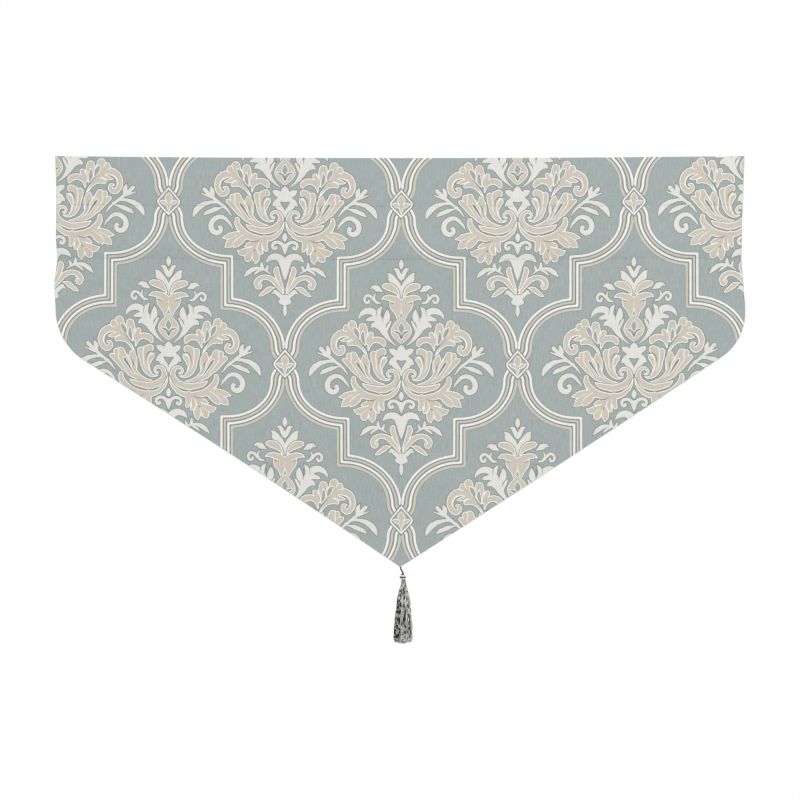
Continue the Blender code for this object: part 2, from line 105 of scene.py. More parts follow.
def quarter_turned(rows: np.ndarray) -> np.ndarray:
    """Flat rows turned by a quarter, so that (1, 0) becomes (0, -1)."""
    return np.stack([rows[:, 1], -rows[:, 0]], axis=1)


def lengths_along(line: np.ndarray) -> np.ndarray:
    """Length from the start of a line to each of its places."""
    return np.concatenate([[0.0], np.cumsum(np.linalg.norm(np.diff(line, axis=0), axis=1))])


def curve_through(rows: np.ndarray, count: int) -> np.ndarray:
    """A smooth curve through rows of numbers.

    Args:
        rows: The rows, with one more at each end that only gives the curve its direction there.
        count: Number of places from one row to the next.

    Returns:
        The rows of the curve.
    """
    curve = []
    for first, second, third, fourth in zip(rows, rows[1:], rows[2:], rows[3:]):
        for share in np.linspace(0.0, 1.0, count, endpoint=False):
            curve.append(
                second
                + 0.5 * share * (third - first)
                + share ** 2 * (first - 2.5 * second + 2.0 * third - 0.5 * fourth)
                + share ** 3 * 0.5 * (fourth - 3.0 * third + 3.0 * second - first)
            )
    return np.array([*curve, rows[-2]])


def moved_inside(path: np.ndarray, distance: float, closed: bool) -> np.ndarray:
    """Move a flat path to its left side, with mitred corners.

    Args:
        path: Points of the path, as (right, up) rows.
        distance: How far to move it.
        closed: Whether the last point joins the first one.

    Returns:
        The moved points, one for each point of the path.
    """
    ahead = np.roll(path, -1, axis=0) - path
    behind = path - np.roll(path, 1, axis=0)
    if not closed:
        ahead[-1], behind[0] = behind[-1], ahead[0]
    first = unit(-quarter_turned(behind))
    middle = unit(first + unit(-quarter_turned(ahead)))
    return path + middle * (distance / (middle * first).sum(axis=1))[:, None]


def in_scene(name: str, data: bpy.types.ID) -> bpy.types.Object:
    """Put a mesh, lamp or camera into the scene as an object."""
    thing = bpy.data.objects.new(name, data)
    bpy.context.scene.collection.objects.link(thing)
    return thing


@dataclass(frozen=True)
class Blade:
    """A leaf, petal or short stem, charted in steps to the right and down from the motif's heart.

    Its spine bends by a share of its length, to the left as seen from the base, and its width
    swells from the root to the belly and narrows to the end, both given as shares of the width.
    """

    base: Place
    tip: Place
    width: float
    bend: float = 0.0
    belly: float = 0.5
    root: float = 0.0
    end: float = 0.0
    steps: int = 7
    trial_places: int = 65

    def mirrors_itself(self) -> bool:
        """Whether the shape lies evenly over the motif's middle line."""
        return self.base[0] == 0.0 and self.tip[0] == 0.0 and self.bend == 0.0

    def half_widths(self, shares: np.ndarray) -> np.ndarray:
        """Half widths at places along the spine, from 0 at the base to 1 at the tip."""
        rising_share = np.clip(shares / self.belly, 0.0, 1.0)
        rising = self.root + (1.0 - self.root) * np.sin(0.5 * np.pi * rising_share)
        falling_share = np.clip((shares - self.belly) / (1.0 - self.belly), 0.0, 1.0)
        falling = self.end + (1.0 - self.end) * np.cos(0.5 * np.pi * falling_share)
        return 0.5 * self.width * np.where(shares < self.belly, rising, falling)

    def outlines(self, grow: float) -> list[np.ndarray]:
        """Outline of the shape, made larger all round by grow steps.

        Args:
            grow: Steps to add all round. Below 0 the shape gets smaller.

        Returns:
            The outline as a list of one array of (right, down) rows, or an empty list.
        """
        start = np.array(self.base)
        finish = np.array(self.tip)
        length = float(np.linalg.norm(finish - start))
        forward = (finish - start) / length
        leftward = np.array([forward[1], -forward[0]])
        finish = finish - forward * (0.5 * self.width * self.end)
        trial = np.linspace(0.0, 1.0, self.trial_places)
        woven = trial[self.half_widths(trial) + grow > THINNEST_HALF]
        if len(woven) < 4:
            return []
        shares = np.linspace(woven[0], woven[-1], self.steps + 1)
        control = 0.5 * (start + finish) + leftward * (2.0 * self.bend * length)
        spine = (
            np.outer((1.0 - shares) ** 2, start)
            + np.outer(2.0 * shares * (1.0 - shares), control)
            + np.outer(shares ** 2, finish)
        )
        ahead = unit(np.outer(1.0 - shares, control - start) + np.outer(shares, finish - control))
        across = quarter_turned(ahead)
        halves = np.maximum(self.half_widths(shares) + grow, 0.0)
        left = spine + across * halves[:, None]
        right = spine - across * halves[:, None]
        reach = max(grow, 0.0)
        cap = np.array([spine[-1] + ahead[-1] * SHARP_REACH * reach])
        if halves[-1] > BLUNT_HALF:
            rounded = [
                spine[-1] + halves[-1] * (math.sin(turn) * across[-1] + math.cos(turn) * ahead[-1])
                for turn in BLADE_CAP
            ]
            cap = np.array([left[-1], *rounded, right[-1]])
        foot = np.array([spine[0] - ahead[0] * SHARP_REACH * reach])
        if halves[0] > BLUNT_HALF:
            foot = np.array([right[0] - ahead[0] * reach, left[0] - ahead[0] * reach])
        return [np.concatenate([foot, left[1:-1], cap, right[-2:0:-1]])]


@dataclass(frozen=True)
class Vine:
    """A stem or scroll of changing width, charted by stations of (right, down, width)."""

    stations: tuple[tuple[float, float, float], ...]
    turn_step: float = 17.0
    width_step: float = 1.6
    longest_turn: float = 110.0
    places_between: int = 12

    def mirrors_itself(self) -> bool:
        """Whether the shape lies evenly over the motif's middle line."""
        return all(station[0] == 0.0 for station in self.stations)

    def line(self) -> np.ndarray:
        """Closely spaced (right, down, width) rows along the stem, thinned where it runs straight."""
        rows = np.array(self.stations, dtype=float)
        longer = np.concatenate([2.0 * rows[:1] - rows[1:2], rows, 2.0 * rows[-1:] - rows[-2:-1]])
        dense = curve_through(longer, self.places_between)
        steps = np.diff(dense[:, :2], axis=0)
        headings = np.unwrap(np.arctan2(steps[:, 1], steps[:, 0]))
        kept = [0]
        for index in range(1, len(dense) - 1):
            turned = abs(headings[index] - headings[kept[-1]])
            widened = abs(dense[index, 2] - dense[kept[-1], 2])
            if math.degrees(turned) >= self.turn_step or widened > self.width_step:
                kept.append(index)
        return dense[[*kept, len(dense) - 1]]

    def outlines(self, grow: float) -> list[np.ndarray]:
        """Outlines of the stem's runs, made larger all round by grow steps.

        Args:
            grow: Steps to add all round. Below 0 the shape gets smaller.

        Returns:
            One outline of (right, down) rows for each run that turns by no more than longest_turn.
        """
        rows = self.line()
        halves = 0.5 * rows[:, 2] + grow
        rows, halves = rows[halves > THINNEST_HALF], halves[halves > THINNEST_HALF]
        if len(rows) < 2:
            return []
        places = rows[:, :2]
        ahead = unit(np.gradient(places, axis=0))
        across = quarter_turned(ahead)
        headings = np.degrees(np.unwrap(np.arctan2(ahead[:, 1], ahead[:, 0])))
        last = len(places) - 1
        ends = [0]
        for index in range(1, last + 1):
            if index == last or abs(headings[index + 1] - headings[ends[-1]]) > self.longest_turn:
                ends.append(index)
        outlines = []
        for start, end in zip(ends, ends[1:]):
            run = slice(start, end + 1)
            left = places[run] + across[run] * halves[run, None]
            right = places[run] - across[run] * halves[run, None]
            caps = [np.empty((0, 2)), np.empty((0, 2))]
            for order, (index, sign) in enumerate(((end, 1.0), (start, -1.0))):
                if index not in (0, last):
                    continue
                reach = halves[index]
                turns = VINE_CAP if reach > BLUNT_VINE_HALF else np.array([0.0])
                caps[order] = np.array([
                    places[index]
                    + sign * reach * (math.sin(turn) * across[index] + math.cos(turn) * ahead[index])
                    for turn in turns
                ])
            outlines.append(np.concatenate([left, caps[0], right[::-1], caps[1]]))
        return outlines


@dataclass(frozen=True)
class Spray:
    """Shapes of one yarn that are woven together.

    The ground shows through the openings, the ribs are fine light lines on the shapes, and the gaps are
    fine dark ones.
    """

    name: str
    yarn: Yarn
    shapes: tuple[Blade | Vine, ...]
    openings: tuple[Blade | Vine, ...] = ()
    ribs: tuple[Vine, ...] = ()
    gaps: tuple[Vine, ...] = ()


# The motif's right half, counted in chart steps to the right of and down from its heart
MOTIF_CHART: tuple[Spray, ...] = (
    Spray("finial", Yarn.WHITE, (
        Blade((0.0, -107.8), (0.0, -119.0), 5.0),
        Vine((
            (0.0, -98.6, 3.0), (1.7, -101.8, 5.8), (3.0, -105.4, 5.2), (4.8, -108.0, 3.6),
            (7.6, -108.6, 1.2),
        )),
    )),
    Spray("crown_leaf", Yarn.WHITE, (
        Vine((
            (0.0, -79.0, 0.6), (0.9, -86.0, 3.4), (3.2, -91.5, 6.4), (7.2, -95.8, 8.0), (9.9, -99.4, 7.4),
            (11.0, -102.4, 4.4), (13.6, -104.4, 0.8),
        )),
    )),
    Spray("crown_heart", Yarn.BEIGE, (
        Vine((
            (3.6, -58.6, 2.2), (3.5, -62.8, 5.6), (4.0, -67.2, 9.6), (5.4, -71.6, 12.8),
            (6.2, -75.2, 12.4),
        )),
        Vine((
            (2.2, -81.6, 2.0), (5.2, -86.4, 5.4), (9.6, -89.9, 8.2), (14.6, -91.4, 7.6),
            (16.8, -91.6, 5.8),
        )),
        Vine((
            (0.6, -75.4, 5.4), (3.8, -78.0, 6.6), (8.8, -79.6, 6.2), (13.6, -80.2, 6.2), (17.2, -79.8, 3.8),
            (20.0, -78.2, 0.8),
        )),
    ), ribs=(
        Vine(((5.6, -74.8, 0.4), (8.4, -76.0, 0.9), (11.4, -76.4, 0.4))),
        Vine(((0.0, -73.0, 0.3), (0.0, -70.4, 0.7), (0.0, -67.6, 0.3))),
    ), gaps=(
        Vine(((6.6, -73.9, 0.3), (9.0, -74.6, 1.0), (11.6, -74.6, 0.4))),
    )),
    Spray("side_leaf", Yarn.WHITE, (
        Vine((
            (18.8, -86.0, 1.0), (21.4, -87.6, 3.6), (24.6, -89.4, 6.6), (28.0, -90.6, 3.4),
            (31.0, -89.0, 0.8),
        )),
    )),
    Spray("small_curl", Yarn.WHITE, (
        Vine((
            (21.2, -74.6, 1.6), (24.6, -75.2, 2.8), (27.6, -78.4, 2.6), (31.0, -81.6, 2.8),
            (34.6, -82.0, 2.8), (36.9, -78.8, 2.8), (35.8, -75.4, 2.6), (33.0, -75.0, 2.5),
            (32.2, -77.4, 2.2),
        )),
        Vine(((25.0, -76.0, 1.6), (27.0, -79.0, 2.0), (26.9, -82.0, 1.8), (25.6, -84.2, 0.8))),
    )),
    Spray("white_spray", Yarn.WHITE, (
        Vine((
            (4.8, -31.8, 0.6), (10.6, -36.6, 2.4), (15.0, -42.0, 4.8), (18.6, -49.0, 8.0),
            (22.0, -57.0, 8.0),
        )),
        Blade((16.0, -43.5), (9.2, -57.4), 4.6, bend=-0.10, belly=0.50, root=0.4, end=0.12),
        Blade((18.6, -50.5), (14.2, -69.0), 6.6, bend=0.10, belly=0.55, root=0.5, end=0.12),
        Blade((22.6, -55.5), (18.8, -71.8), 5.4, bend=-0.15, belly=0.45, root=0.7, end=0.12),
        Vine((
            (22.6, -58.5, 7.0), (26.4, -64.4, 6.6), (31.6, -66.8, 6.8), (37.0, -65.8, 5.6),
            (41.0, -62.4, 3.2), (42.6, -58.4, 0.6),
        )),
        Vine(((21.5, -58.0, 6.0), (28.0, -59.2, 5.4), (32.4, -58.2, 3.8), (34.6, -57.6, 1.8))),
        Vine(((18.5, -48.5, 6.5), (23.6, -52.4, 6.4), (27.6, -52.6, 5.2), (30.2, -50.4, 1.0))),
    ), gaps=(
        Vine(((18.5, -67.0, 1.2), (18.9, -61.0, 1.6), (18.4, -55.8, 0.4))),
        Vine(((11.2, -57.2, 0.6), (14.2, -53.8, 1.3), (15.3, -49.8, 0.3))),
        Vine(((24.4, -67.0, 0.8), (25.2, -63.4, 1.2), (25.4, -60.6, 0.3))),
    )),
    Spray("medallion", Yarn.BEIGE, (
        Blade((0.0, -33.4), (0.0, -61.4), 21.4, belly=0.46, steps=14),
    ), (
        Blade((0.0, -44.4), (0.0, -54.6), 5.2, belly=0.48),
        Vine(((0.2, -38.8, 1.0), (0.9, -42.2, 2.5), (3.1, -44.8, 2.3), (7.2, -46.4, 0.8))),
    )),
    Spray("lily", Yarn.WHITE, (
        Blade((0.0, -20.0), (0.0, -33.4), 8.4, belly=0.58, root=0.9),
        Vine(((1.4, -21.8, 7.4), (5.2, -24.4, 8.8), (8.0, -26.2, 7.6), (10.8, -27.6, 3.4))),
        Vine(((0.0, -20.2, 6.6), (4.0, -20.4, 5.2), (6.6, -19.4, 4.0))),
        Vine((
            (5.6, -19.6, 4.0), (8.2, -16.4, 6.6), (6.2, -12.6, 6.2), (2.8, -9.0, 4.8),
            (1.2, -5.4, 2.8), (0.4, -1.8, 0.8),
        )),
        Blade((7.2, -17.5), (12.6, -12.2), 4.4, bend=0.1, belly=0.3, root=0.9),
    )),
    Spray("upper_plume", Yarn.BEIGE, (
        Vine((
            (17.2, -33.0, 4.6), (18.8, -36.0, 7.2), (23.6, -38.0, 6.6), (28.6, -37.0, 6.4),
            (31.8, -33.0, 4.4), (33.0, -27.0, 1.4),
        )),
        Vine(((33.0, -35.0, 6.0), (31.2, -40.0, 7.2), (30.0, -43.6, 5.6))),
        Vine(((36.6, -38.0, 8.0), (38.0, -45.0, 10.4), (38.4, -50.6, 8.8))),
        Vine(((46.8, -41.0, 9.0), (48.6, -48.0, 10.0), (49.2, -53.2, 9.2))),
        Vine(((51.6, -44.0, 8.0), (54.8, -49.8, 7.6))),
        Vine((
            (33.0, -19.8, 1.0), (36.6, -26.4, 2.8), (41.0, -33.4, 4.2), (46.4, -39.6, 7.0),
            (51.0, -43.0, 8.0),
        )),
        Vine((
            (44.0, -41.0, 8.4), (52.0, -44.8, 8.4), (59.4, -44.2, 8.2), (65.2, -40.4, 7.6),
            (67.6, -34.4, 6.8), (66.6, -28.2, 6.4), (62.4, -24.4, 6.4), (58.4, -26.4, 5.6),
            (58.4, -30.4, 4.2), (61.2, -30.8, 2.8),
        )),
        Blade((48.0, -40.6), (61.8, -36.6), 5.0, bend=-0.06, belly=0.5, root=0.6),
        Vine((
            (34.6, -22.0, 1.4), (38.6, -28.8, 3.0), (43.0, -33.2, 5.0), (48.4, -34.8, 6.2),
            (52.0, -33.6, 5.0),
        )),
    ), (
        Blade((42.4, -38.2), (47.7, -49.8), 4.0, bend=0.05, belly=0.60),
        Blade((36.2, -33.0), (38.2, -46.4), 3.4, bend=-0.10, belly=0.50),
    ), ribs=(
        Vine(((53.8, -46.2, 0.4), (56.6, -46.2, 1.0), (59.2, -48.2, 0.5))),
        Vine((
            (56.4, -41.6, 0.4), (61.2, -40.2, 1.0), (64.6, -36.4, 1.0), (65.4, -31.2, 0.9),
            (62.8, -27.4, 0.4),
        )),
        Vine(((53.0, -53.4, 0.5), (52.4, -50.6, 1.0), (50.8, -48.0, 0.4))),
        Vine(((43.6, -49.8, 0.5), (43.0, -45.6, 1.0), (41.0, -40.0, 0.5))),
        Vine(((32.8, -46.0, 0.5), (34.6, -43.0, 1.0), (35.0, -38.0, 1.0), (36.0, -33.0, 0.5))),
    ), gaps=(
        Vine(((33.6, -25.0, 0.4), (36.8, -30.4, 1.1), (41.4, -36.6, 1.1), (45.6, -40.0, 0.3))),
    )),
    Spray("inner_plume", Yarn.BEIGE, (
        Vine(((25.0, -17.0, 9.0), (21.6, -23.6, 10.0), (18.8, -25.8, 8.6))),
        Vine(((26.0, -17.0, 9.0), (27.6, -23.4, 7.8))),
        Vine(((21.8, -8.0, 5.0), (19.4, -14.6, 6.6), (16.2, -17.8, 5.0))),
        Vine((
            (25.0, -20.0, 11.0), (24.2, -12.0, 10.0), (22.4, -4.6, 8.4), (18.6, 0.8, 4.6), (14.2, 2.2, 2.6),
            (11.2, 1.2, 2.0),
        )),
    ), ribs=(
        Vine((
            (13.6, -20.4, 0.5), (17.6, -20.4, 1.0), (20.4, -16.4, 1.0), (21.0, -10.0, 1.0), (19.4, -4.0, 0.9),
            (16.0, -0.6, 0.4),
        )),
        Vine((
            (24.4, -28.2, 0.5), (25.6, -24.0, 1.0), (25.6, -18.0, 1.0), (25.0, -10.0, 0.9),
            (22.0, -3.4, 0.4),
        )),
    ), gaps=(
        Vine(((14.6, -22.0, 0.4), (18.6, -22.1, 1.2), (21.8, -18.9, 1.1), (22.7, -13.0, 0.4))),
    )),
    Spray("outer_plume", Yarn.BEIGE, (
        Blade((35.4, -4.0), (38.2, -24.0), 9.4, bend=0.05, belly=0.52, root=0.8),
        Vine(((43.0, -10.0, 9.0), (46.0, -18.0, 9.2), (47.6, -22.6, 7.4))),
        Vine(((46.0, -12.0, 8.0), (51.4, -19.8, 8.2), (52.4, -22.0, 6.4))),
        Vine(((44.0, -6.0, 8.6), (52.0, -14.0, 7.6), (57.0, -17.4, 5.0))),
        Vine((
            (43.4, -12.0, 11.0), (39.4, -4.6, 12.6), (33.6, 1.2, 9.0), (27.2, 4.8, 5.6), (20.4, 6.6, 3.0),
            (15.6, 6.6, 0.8),
        )),
    ), (
        Vine((
            (45.0, -15.4, 0.9), (42.6, -12.2, 3.2), (39.8, -8.6, 4.0), (37.2, -4.4, 2.6),
            (35.0, -0.2, 0.8),
        )),
    ), ribs=(
        Vine((
            (41.6, -19.6, 0.5), (40.6, -15.6, 1.0), (37.6, -11.4, 1.0), (37.2, -6.0, 1.0), (34.4, -1.0, 0.9),
            (29.0, 2.8, 0.4),
        )),
        Vine((
            (50.4, -26.0, 0.5), (49.8, -21.0, 1.0), (50.4, -15.6, 0.9), (46.0, -7.6, 0.9),
            (40.0, 0.0, 0.4),
        )),
        Vine(((33.4, -12.6, 0.4), (33.0, -7.0, 0.9), (31.4, -2.6, 0.9), (27.6, 1.4, 0.4))),
    ), gaps=(
        Vine(((37.4, -14.4, 0.3), (35.5, -10.8, 1.3), (35.2, -7.0, 0.4))),
        Vine(((31.4, -1.0, 0.3), (33.2, -3.0, 1.6), (35.4, -5.8, 0.4))),
    )),
    Spray("scroll", Yarn.BEIGE, (
        Vine((
            (38.4, 6.4, 2.0), (34.6, 9.2, 5.4), (27.5, 11.2, 7.0), (19.0, 12.0, 7.2), (11.2, 9.7, 7.2),
            (5.4, 4.9, 7.0), (4.0, -0.9, 5.5), (6.2, -5.7, 4.4), (10.4, -7.3, 3.7), (13.8, -4.6, 3.0),
            (12.8, -1.3, 2.6), (10.8, -1.5, 2.2),
        )),
    ), ribs=(
        Vine(((34.0, 6.6, 0.4), (27.0, 8.8, 0.9), (19.0, 9.2, 0.4))),
    )),
    Spray("lower_acanthus", Yarn.BEIGE, (
        Vine((
            (0.9, 2.6, 1.0), (2.6, 9.2, 3.0), (6.6, 14.8, 4.6), (13.6, 19.4, 5.8), (22.0, 20.4, 6.2),
            (31.0, 19.4, 7.2), (38.8, 16.2, 8.0), (44.8, 10.5, 7.2), (47.6, 5.2, 6.2), (47.6, 0.8, 5.0),
        )),
        Vine(((38.0, 17.4, 8.0), (48.0, 17.6, 9.6), (54.6, 18.4, 8.4), (59.4, 19.4, 4.2), (62.8, 19.8, 0.8))),
        Vine(((44.0, 18.6, 8.0), (51.8, 22.8, 9.6), (56.2, 26.2, 8.2), (59.4, 29.0, 2.2))),
        Vine(((41.0, 18.0, 7.0), (45.6, 22.8, 8.8), (48.6, 26.0, 7.6), (50.6, 29.0, 2.2))),
        Vine(((23.0, 21.6, 7.0), (30.0, 24.6, 8.4), (36.0, 26.6, 6.2), (40.4, 28.2, 1.0))),
        Vine(((20.4, 20.6, 9.0), (20.6, 25.6, 7.2), (18.6, 31.2, 4.6))),
        Vine(((25.4, 22.6, 9.0), (25.6, 28.6, 7.6), (23.4, 34.0, 4.6))),
        Vine(((27.6, 23.0, 6.6), (31.6, 30.6, 6.0))),
        Vine(((31.0, 30.6, 5.4), (29.0, 36.0, 8.4), (28.8, 41.2, 7.0), (29.4, 44.6, 2.0))),
        Vine(((32.2, 30.6, 5.0), (36.0, 35.4, 8.6), (37.2, 40.0, 7.6))),
        Vine(((32.0, 30.2, 5.0), (38.6, 33.2, 8.2), (43.4, 34.0, 7.2), (47.0, 32.6, 2.2))),
    ), ribs=(
        Vine(((44.6, 13.8, 0.4), (48.0, 10.6, 0.9), (49.0, 7.6, 0.4))),
        Vine(((40.6, 15.6, 0.4), (47.0, 19.4, 1.0), (52.4, 25.4, 0.5))),
        Vine(((47.4, 16.6, 0.4), (52.4, 19.0, 1.0), (57.6, 21.8, 0.5))),
        Vine(((22.6, 33.6, 0.5), (23.4, 28.4, 1.0), (22.6, 23.6, 0.4))),
        Vine(((28.0, 31.6, 0.5), (27.6, 27.6, 1.0), (25.6, 23.8, 0.4))),
        Vine(((33.2, 42.0, 0.5), (33.0, 37.6, 1.0), (31.8, 33.0, 0.4))),
        Vine(((40.8, 37.4, 0.5), (37.4, 34.4, 1.0), (33.6, 31.8, 0.4))),
    ), gaps=(
        Vine(((24.6, 20.8, 0.3), (28.4, 22.9, 1.0), (34.0, 22.9, 1.1), (37.6, 21.8, 0.4))),
        Vine(((24.0, 29.2, 0.4), (24.1, 27.2, 1.4), (24.0, 25.2, 0.4))),
        Vine(((29.4, 30.6, 0.5), (30.4, 31.6, 1.5), (31.0, 33.0, 0.4))),
    )),
    Spray("bud_sprig", Yarn.WHITE, (
        Vine((
            (53.2, -2.6, 0.8), (57.4, -8.6, 2.4), (63.4, -13.0, 3.2), (68.8, -17.2, 2.6),
            (73.4, -21.8, 3.4),
        )),
        Blade((73.0, -20.0), (74.9, -32.4), 4.6, bend=0.10, belly=0.50, root=0.7),
        Vine(((73.8, -21.6, 3.6), (77.6, -25.6, 4.6), (80.6, -28.8, 4.0))),
        Vine(((73.6, -20.8, 2.6), (78.6, -22.4, 3.8), (81.6, -23.8, 2.6), (84.0, -24.6, 0.8))),
        Vine((
            (60.0, -12.2, 2.0), (67.0, -15.8, 2.4), (74.0, -16.0, 3.2), (81.0, -14.0, 4.8), (87.0, -9.8, 6.0),
            (90.2, -4.8, 4.2), (91.8, -0.6, 0.6),
        )),
        Vine((
            (62.4, -10.8, 1.0), (66.4, -9.8, 2.6), (70.6, -8.6, 4.8), (76.0, -6.6, 5.0),
            (81.4, -3.0, 0.9),
        )),
    )),
    Spray("c_scroll", Yarn.WHITE, (
        Vine((
            (52.0, 10.2, 0.6), (56.0, 3.8, 3.0), (61.4, -0.8, 3.8), (67.0, -1.0, 4.6), (72.0, 2.4, 5.0),
            (74.0, 7.8, 5.4), (72.4, 12.8, 5.4), (68.0, 15.0, 5.0), (64.2, 12.6, 4.4), (64.4, 9.0, 3.6),
            (66.2, 9.2, 2.4),
        )),
    )),
    Spray("drop", Yarn.WHITE, (Blade((0.0, 23.4), (0.0, 13.4), 5.2),)),
    Spray("double_volute", Yarn.WHITE, (
        Blade((0.0, 24.5), (0.0, 36.0), 5.8, belly=0.25, root=0.7),
        Vine((
            (1.0, 27.8, 4.0), (3.4, 24.7, 3.3), (7.4, 23.2, 3.1), (11.2, 24.4, 3.1), (12.4, 27.4, 3.0),
            (10.8, 29.9, 2.9), (8.4, 29.2, 2.6), (9.0, 27.7, 1.8),
        )),
    )),
    Spray("lower_lily", Yarn.WHITE, (
        Vine((
            (0.6, 47.0, 8.6), (3.4, 40.6, 7.8), (8.6, 37.7, 6.8), (13.8, 38.6, 5.8), (17.0, 41.2, 3.0),
            (18.7, 43.2, 0.8),
        )),
        Blade((0.0, 39.5), (0.0, 62.4), 9.2, belly=0.22, root=0.7),
    )),
    Spray("upright_leaf", Yarn.BEIGE, (
        Vine(((1.4, 71.0, 2.0), (5.0, 63.4, 4.8), (7.8, 56.6, 6.4), (8.8, 51.8, 6.0), (8.2, 49.6, 5.0))),
        Vine((
            (0.6, 76.0, 1.4), (5.0, 69.0, 5.0), (10.0, 62.6, 6.2), (15.4, 59.2, 5.6), (21.0, 58.4, 5.4),
            (26.0, 60.4, 5.8), (28.4, 64.4, 6.2), (26.6, 67.0, 8.4),
        )),
    ), ribs=(
        Vine(((2.2, 72.0, 0.4), (5.6, 65.6, 0.9), (10.0, 59.6, 0.5))),
        Vine(((22.4, 62.4, 0.4), (25.2, 63.2, 0.9), (26.4, 65.8, 0.9), (24.8, 67.6, 0.4))),
    )),
    Spray("low_sprig", Yarn.WHITE, (
        Vine((
            (14.0, 55.4, 0.6), (19.0, 51.6, 2.2), (24.6, 49.6, 2.4), (30.4, 50.0, 4.0), (35.8, 53.0, 5.0),
            (41.0, 58.4, 0.6),
        )),
        Blade((18.4, 52.6), (16.0, 45.8), 2.8, bend=-0.1, belly=0.35, root=0.6),
        Blade((21.0, 51.2), (22.6, 42.4), 3.4, bend=-0.16, belly=0.45, root=0.5),
        Blade((23.0, 51.4), (31.4, 57.2), 2.4, bend=0.12, belly=0.5, root=0.5),
    )),
    Spray("low_leaf", Yarn.BEIGE, (
        Vine(((10.2, 68.7, 0.9), (14.0, 69.4, 4.2), (18.2, 71.6, 7.0), (22.2, 75.0, 5.4), (26.2, 77.4, 0.9))),
    )),
    Spray("cup", Yarn.WHITE, (
        Blade((0.0, 86.0), (0.0, 75.2), 13.0, belly=0.50, root=0.4, end=0.75),
        Vine(((0.6, 80.6, 4.6), (4.0, 77.2, 4.6), (7.4, 74.5, 4.4), (10.4, 73.5, 2.6), (13.2, 74.9, 0.9))),
        Blade((8.0, 74.8), (11.6, 71.4), 3.2, bend=0.2, root=0.6, end=0.4),
        Blade((0.0, 84.4), (0.0, 98.4), 4.2, belly=0.55, root=0.25),
    )),
)


@dataclass(frozen=True)
class Stripe:
    """One stripe of the trellis band, with its width in chart steps."""

    yarn: Yarn
    width: float


